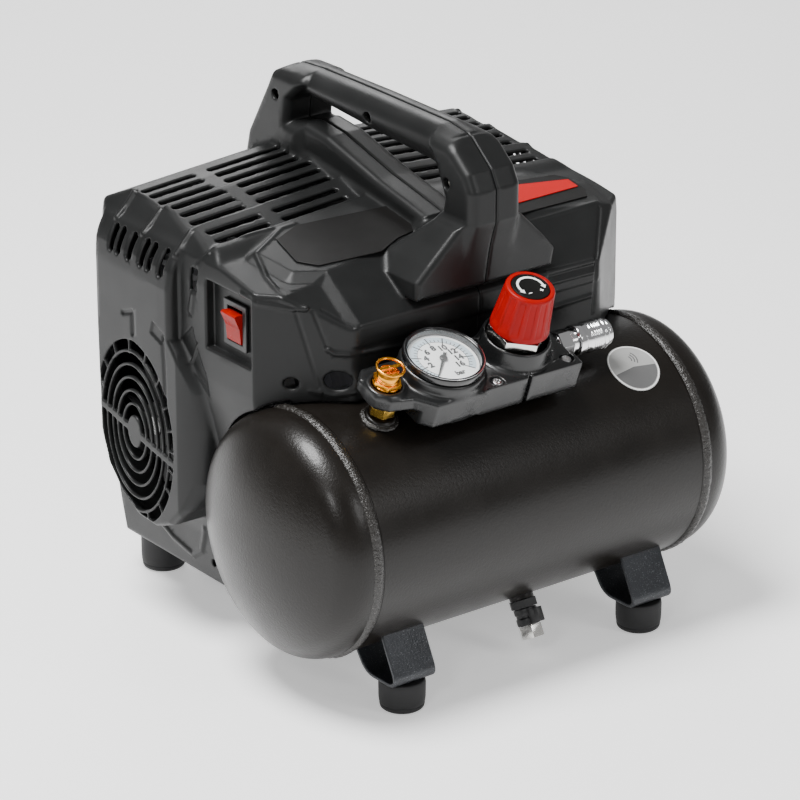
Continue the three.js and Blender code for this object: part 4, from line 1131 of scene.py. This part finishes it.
def flutes(a, r, h):
    """Fourteen shallow finger flutes between plain bands at the rim and the top."""
    if r < 14 or not FLUTE_LOW < h < FLUTE_HIGH:
        return 0.0
    edge = min(1.0, (h - FLUTE_LOW) / 2.5, (FLUTE_HIGH - h) / 1.6)
    wave = max(0.0, math.cos(14 * a)) ** 0.5
    return -0.75 * edge * (1 - wave)


def arrow_print():
    """A round double arrow with a minus and a plus, on top of the cap."""
    ink = (CAP_TOP, 77.88)
    parts = [disc_plate(7.7, 9.3, *ink, 1, 48, math.radians(-12), math.radians(204))]
    for angle, way in ((math.radians(-12), -1), (math.radians(192), 1)):
        tip = [(6.6, 0), (10.4, 0), (8.5, way * 3.0)]
        parts.append(prism(spun(tip, angle), *ink))
    parts += [slab(-4.4, -5.6, 1.3, 0.3, *ink), slab(4.4, -5.6, 1.3, 0.3, *ink),
              slab(4.4, -5.6, 0.3, 1.3, CAP_TOP, 77.89)]
    return join(*parts)


def build_regulator():
    nut = join(prism(regular(6, 19.8, math.pi / 6), 35.6, 45),
               turned(tube_line(7.2, 15.5, 30.3, 36), 0.4, 64),
               turned([(7.2, 44.6), (14.6, 44.6), (14.2, 46.0), (7.2, 46.0)], 0.4, 64))
    piece("regulator_lock_nut", nut, NUT_CHROME, ["regulator_nut"], on_knob, bevel=0.9,
          segments=3)
    low, high, top = 19.0, 15.8, 31
    outer = [(low, 0.2)]
    outer += [(low + (high - low) * h / top, h)
              for h in (1.2, 2.4, FLUTE_LOW, 3.6, 5.5, 10, 16, 22, 27, 28.2, FLUTE_HIGH)]
    outer += [(15.7, 30.2), (15.2, 30.8), (14.4, 31.0), (12.9, 31.0), (12.6, 30.7), (12.6, 29.4), (6.6, 29.4),
              (6.6, 20), (16.2, 19), (16.3, 0.0), (18.6, 0.0)]
    grip = join(lathe(outer, 280, flutes), lathe(tube_line(0, 6.6, -12, 21), 40))
    piece("regulator_grip", grip, KNOB_RED, ["regulator_knob"],
          lambda p: on_knob(place(p, 0, 0, KNOB_FOOT)), "regulator", angle=40)
    cap = turned([(0, 75.9), (12.3, 75.9), (12.3, 77.3), (11.9, 77.7), (0, CAP_TOP)], 0.2, 96)
    piece("regulator_cap", cap, INLAY, ["knob_cap"], on_knob, "regulator")
    piece("regulator_arrows", arrow_print(), WHITE_PRINT, (), on_knob, "regulator")


# ---------------------------------------------------------------- coupler
def on_port(points):
    """A piece turned about +Z becomes one that points along the tank at the air port's height."""
    return on_shoulder(place(turn_to_x(points), 0, 0, PORT_H))


def build_coupler():
    tube = [(4, 40.4), (7.6, 40.4), (7.6, 79), (8.6, 79.5), (8.6, 82), (5, 82), (4.2, 74)]
    collar = [(7.5, 49.8), (9.0, 49.8), (9.0, 50.5), (7.7, 50.8), (7.5, 50.9)]
    barrel = join(turned(tube, 0.5, 64), prism(regular(6, 9.8), 41, 50), turned(collar, 0.15, 64))
    piece("coupler_barrel", barrel, CHROME, ["coupler_body"], on_port, bevel=0.5, segments=3)
    sleeve = [(8, 55), (9.6, 55), (10.2, 55.6), (10.2, 60), (9.6, 60.6), (9.6, 64.4), (10.2, 65), (10.2, 66)]
    for i in range(4):
        base = 66.4 + i * 1.7
        sleeve += [(9.75, base), (9.75, base + 0.5), (10.2, base + 0.9), (10.2, base + 1.3)]
    sleeve += [(10.2, 74), (9.8, 74.5), (9.8, 75.4), (10.2, 75.9), (10.2, 77.4), (9.8, 78), (8, 78)]
    piece("coupler_grip_sleeve", turned(sleeve, 0.25, 96, 2), CHROME, ["coupler_sleeve"], on_port,
          "sleeve")


# ---------------------------------------------------------------- safety valve
def torus(radius, thick, h, segments=72, steps=14):
    """A round ring at height h."""
    profile = [(radius + thick * math.cos(a), h + thick * math.sin(a))
               for a in (2 * math.pi * i / steps for i in range(steps))]
    return lathe(profile, segments)


def build_valve():
    body = [(1.6, 32), (7.4, 32), (7.4, 33.6), (7.0, 33.9), (7.0, 34.3), (7.4, 34.6), (7.4, 37.2),
            (6.8, 38.2), (6.0, 39.4), (4.2, 39.5), (1.6, 39.5)]
    brass = join(prism(regular(6, 9.6), 29.4, 33), turned(body, 0.3, 56),
                 turned(tube_line(0, 8.8, 25.4, 30), 0.4))
    piece("safety_valve_turned", brass, BRASS, ["safety_valve_body"], on_valve, bevel=0.4)
    pull = join(turned(tube_line(0, 1.2, 36.6, 42.9), 0.2, 24), slab(0, 0, 8.2, 0.9, 41.2, 42.8),
                torus(8.6, 0.95, 42))
    piece("safety_valve_ring", pull, BRASS, ["safety_valve_pull"], on_valve, "safety_pull",
          bevel=0.2)


# ---------------------------------------------------------------- drain valve
def build_drain():
    disc = [(3.2, 8.5), (7.6, 8.5), (7.6, 12), (6.9, 12.6), (6.9, 14.4), (7.6, 15), (7.6, 19), (7.1, 19.5),
            (3.2, 19.5)]
    lug = [(-3, 4), (3, 4), (3.4, 13.5), (1.8, 15.5), (-1.8, 15.5), (-3.4, 13.5)]
    body = join(prism(regular(6, 9.6), 2.8, 8), turned(disc, 0.4), prism(lug, 9.4, 18.6))
    piece("drain_valve_nylon", body, NYLON, ["drain_valve_body"], on_drain, bevel=0.6)
    end = [(0, 27.6), (6.0, 27.6), (5.6, 28.4), (2.4, 28.4), (2.2, 27.9), (0, 27.9)]
    screw = join(prism(regular(6, 8.2), 20, 28), lathe(tube_line(0, 2.9, 14, 21), 32),
                 turned(end, 0.3, 40))
    piece("drain_screw_head", screw, NUT_CHROME, ["drain_knob"], on_drain, "drain_screw", bevel=0.8,
          segments=3)


# ---------------------------------------------------------------- switch, screws, trim
def to_left_wall(points):
    """Switch coordinates (back, up, out of the wall) on the floor of the pocket."""
    x, y, h = xyz(points)
    return np.stack([-POCKET_X - h, SWITCH_Y + x, SWITCH_Z + y], 1)


def rocker_place(points):
    """The rocker, drawn as (up, out, along its axle), tilted about its axle."""
    up, out, along = xyz(points)
    c, s = math.cos(ROCKER_TILT), math.sin(ROCKER_TILT)
    return np.stack([out * c + up * s - ROCKER_X, along + SWITCH_Y, -out * s + up * c + SWITCH_Z], 1)


def frame_plate(outer, inner, h0, h1):
    """A rectangular frame: outer and inner half sizes, closed all round."""
    ring = []
    for a, b in (outer, inner):
        for h in (h0, h1):
            ring += [(sx * a, sy * b, h) for sx, sy in ((-1, -1), (1, -1), (1, 1), (-1, 1))]
    faces = []
    for i in range(4):
        j = (i + 1) % 4
        faces += [[i, j, 4 + j, 4 + i], [8 + j, 8 + i, 12 + i, 12 + j], [4 + i, 4 + j, 12 + j, 12 + i],
                  [j, i, 8 + i, 8 + j]]
    return np.array(ring), faces


def build_switch():
    hole = (8, 11.5)
    body = join(frame_plate((12, 15.2), hole, 0.3, 2.5), frame_plate((9.6, 12.6), hole, -27.0, 0.4),
                slab(0, 0, 9, 12, -27.0, -11.0))
    piece("switch_frame", body, NYLON, ["switch_body"], to_left_wall, bevel=0.5, segments=3)
    line = [(-10, -5), (0, -3.5), (10, -5), (10.5, -3), (8, 3), (-8, 3), (-10.5, -3)]
    shape = rounded(line + line[:2], 0.8, 3)[1:-1]
    piece("rocker_button", prism(shape, -7.6, 7.6), GLOWING_ROCKER_RED, ["switch_rocker"], rocker_place,
          "rocker", bevel=0.5)


def build_screws():
    head = turned([(0, -8), (1.6, -8), (1.6, -0.6), (3.2, -0.4), (3.1, 1.0), (2.2, 1.9), (1.2, 2.0),
                   (1.0, 0.9), (0, 0.9)], 0.3, 40)
    for label, (y, z, x) in zip(("rear", "middle", "front"), WELLS):
        def in_well(points):
            up, back, out = xyz(points)
            return np.stack([-(x - SCREW_SEAT) - out, back + y, up + z], 1)

        piece(f"handle_screw_{label}_head", head, ZINC, [f"handle_screw_{label}"], in_well)


def on_roof(points):
    """Plan coordinates with a height over the plain roof."""
    x, y, h = xyz(points)
    return np.stack([x, y, roof_height(x, y) + h], 1)


INLAY_LEFT = [(-104, 98), (-95, 86.5), (-52, 79), (-34, 86.5), (-12, 89), (-12, 121), (-78, 134), (-99, 126)]
INLAY_RIGHT = [(56, 80), (118, 86), (124, 95), (124, 112), (117, 119), (91, 120), (60, 124), (29, 120),
               (29, 101), (48, 96)]
LABEL_RED = [(51, 92.5), (68, 92.4), (121, 99), (121, 109.5), (84, 113.6), (31, 112), (31, 102), (49, 97)]


def build_trim():
    """The two dark plates and the red one, each a little way over the roof."""
    dark, red = (0.3, 0.9), (1.0, 1.5)
    piece("trim_plate_left", prism(INLAY_LEFT, *dark), INLAY, ["inlay_left"], on_roof, bevel=0.25)
    piece("trim_plate_right", prism(INLAY_RIGHT, *dark), INLAY, ["inlay_right"], on_roof,
          bevel=0.25)
    piece("red_label_plate", prism(LABEL_RED, *red), RED_PRINT, ["label_red"], on_roof,
          bevel=0.1)


build_housing()
build_tank()
build_sticker()
build_brackets()
build_feet()
build_block()
build_gauge()
build_regulator()
build_coupler()
build_valve()
build_drain()
build_switch()
build_screws()
build_trim()


# ---------------------------------------------------------------- camera, lights, floor
def aim(obj, where, target):
    """Puts a camera or lamp somewhere and turns it to a target."""
    obj.location = where
    obj.rotation_euler = (Vector(target) - Vector(where)).to_track_quat("-Z", "Y").to_euler()


# The photograph's own view, in metres: the lens on a 36 mm sensor, the distance and the point looked at.
AZIMUTH, ELEVATION = math.radians(-37.0306), math.radians(22.8016)
LENS_MM, DISTANCE = 204.465, 2.8
LOOK_AT = Vector((-0.076487, 0.028 - SHIFT_Y * MM, 0.193053))
# Round soft lamps: name, place, diameter and power.
LAMPS = [
    ("key_top", (-0.7, 0.1, 2.0), 0.9, 88.0),
    ("fill_left", (-1.7, -1.2, 1.5), 0.5, 9.0),
    ("fill_front", (0.7, -2.0, 1.3), 0.8, 11.0),
    ("rim_back", (0.9, 1.6, 1.3), 1.0, 14.0),
]
FLOOR_HALF, FLOOR_Z = 30, -0.0002


def build_camera():
    data = bpy.data.cameras.new("photo_view")
    data.lens = LENS_MM
    data.sensor_width = 36.0
    data.clip_end = 20.0
    camera = bpy.data.objects.new("photo_view", data)
    bpy.context.scene.collection.objects.link(camera)
    back = Vector((math.sin(AZIMUTH) * math.cos(ELEVATION), -math.cos(AZIMUTH) * math.cos(ELEVATION),
                   math.sin(ELEVATION)))
    aim(camera, LOOK_AT + back * DISTANCE, LOOK_AT)
    bpy.context.scene.camera = camera


def build_lights():
    world = bpy.data.worlds.new("studio")
    bpy.context.scene.world = world
    world.use_nodes = True
    world.node_tree.nodes["Background"].inputs["Color"].default_value = (1.0, 1.0, 1.0, 1.0)
    world.node_tree.nodes["Background"].inputs["Strength"].default_value = 0.3
    for name, where, size, power in LAMPS:
        light = bpy.data.lights.new(name, "AREA")
        light.shape = "DISK"
        light.size = size
        light.energy = power
        obj = bpy.data.objects.new(name, light)
        bpy.context.scene.collection.objects.link(obj)
        aim(obj, where, (0, 0, 0.17))


def build_floor():
    corners = [(FLOOR_HALF * x, FLOOR_HALF * y, FLOOR_Z) for x, y in ((-1, -1), (1, -1), (1, 1), (-1, 1))]
    mesh = bpy.data.meshes.new("studio_floor")
    mesh.from_pydata(corners, [], [(0, 1, 2, 3)])
    mesh.materials.append(FLOOR)
    floor = bpy.data.objects.new("studio_floor", mesh)
    bpy.context.scene.collection.objects.link(floor)


build_camera()
build_lights()
build_floor()
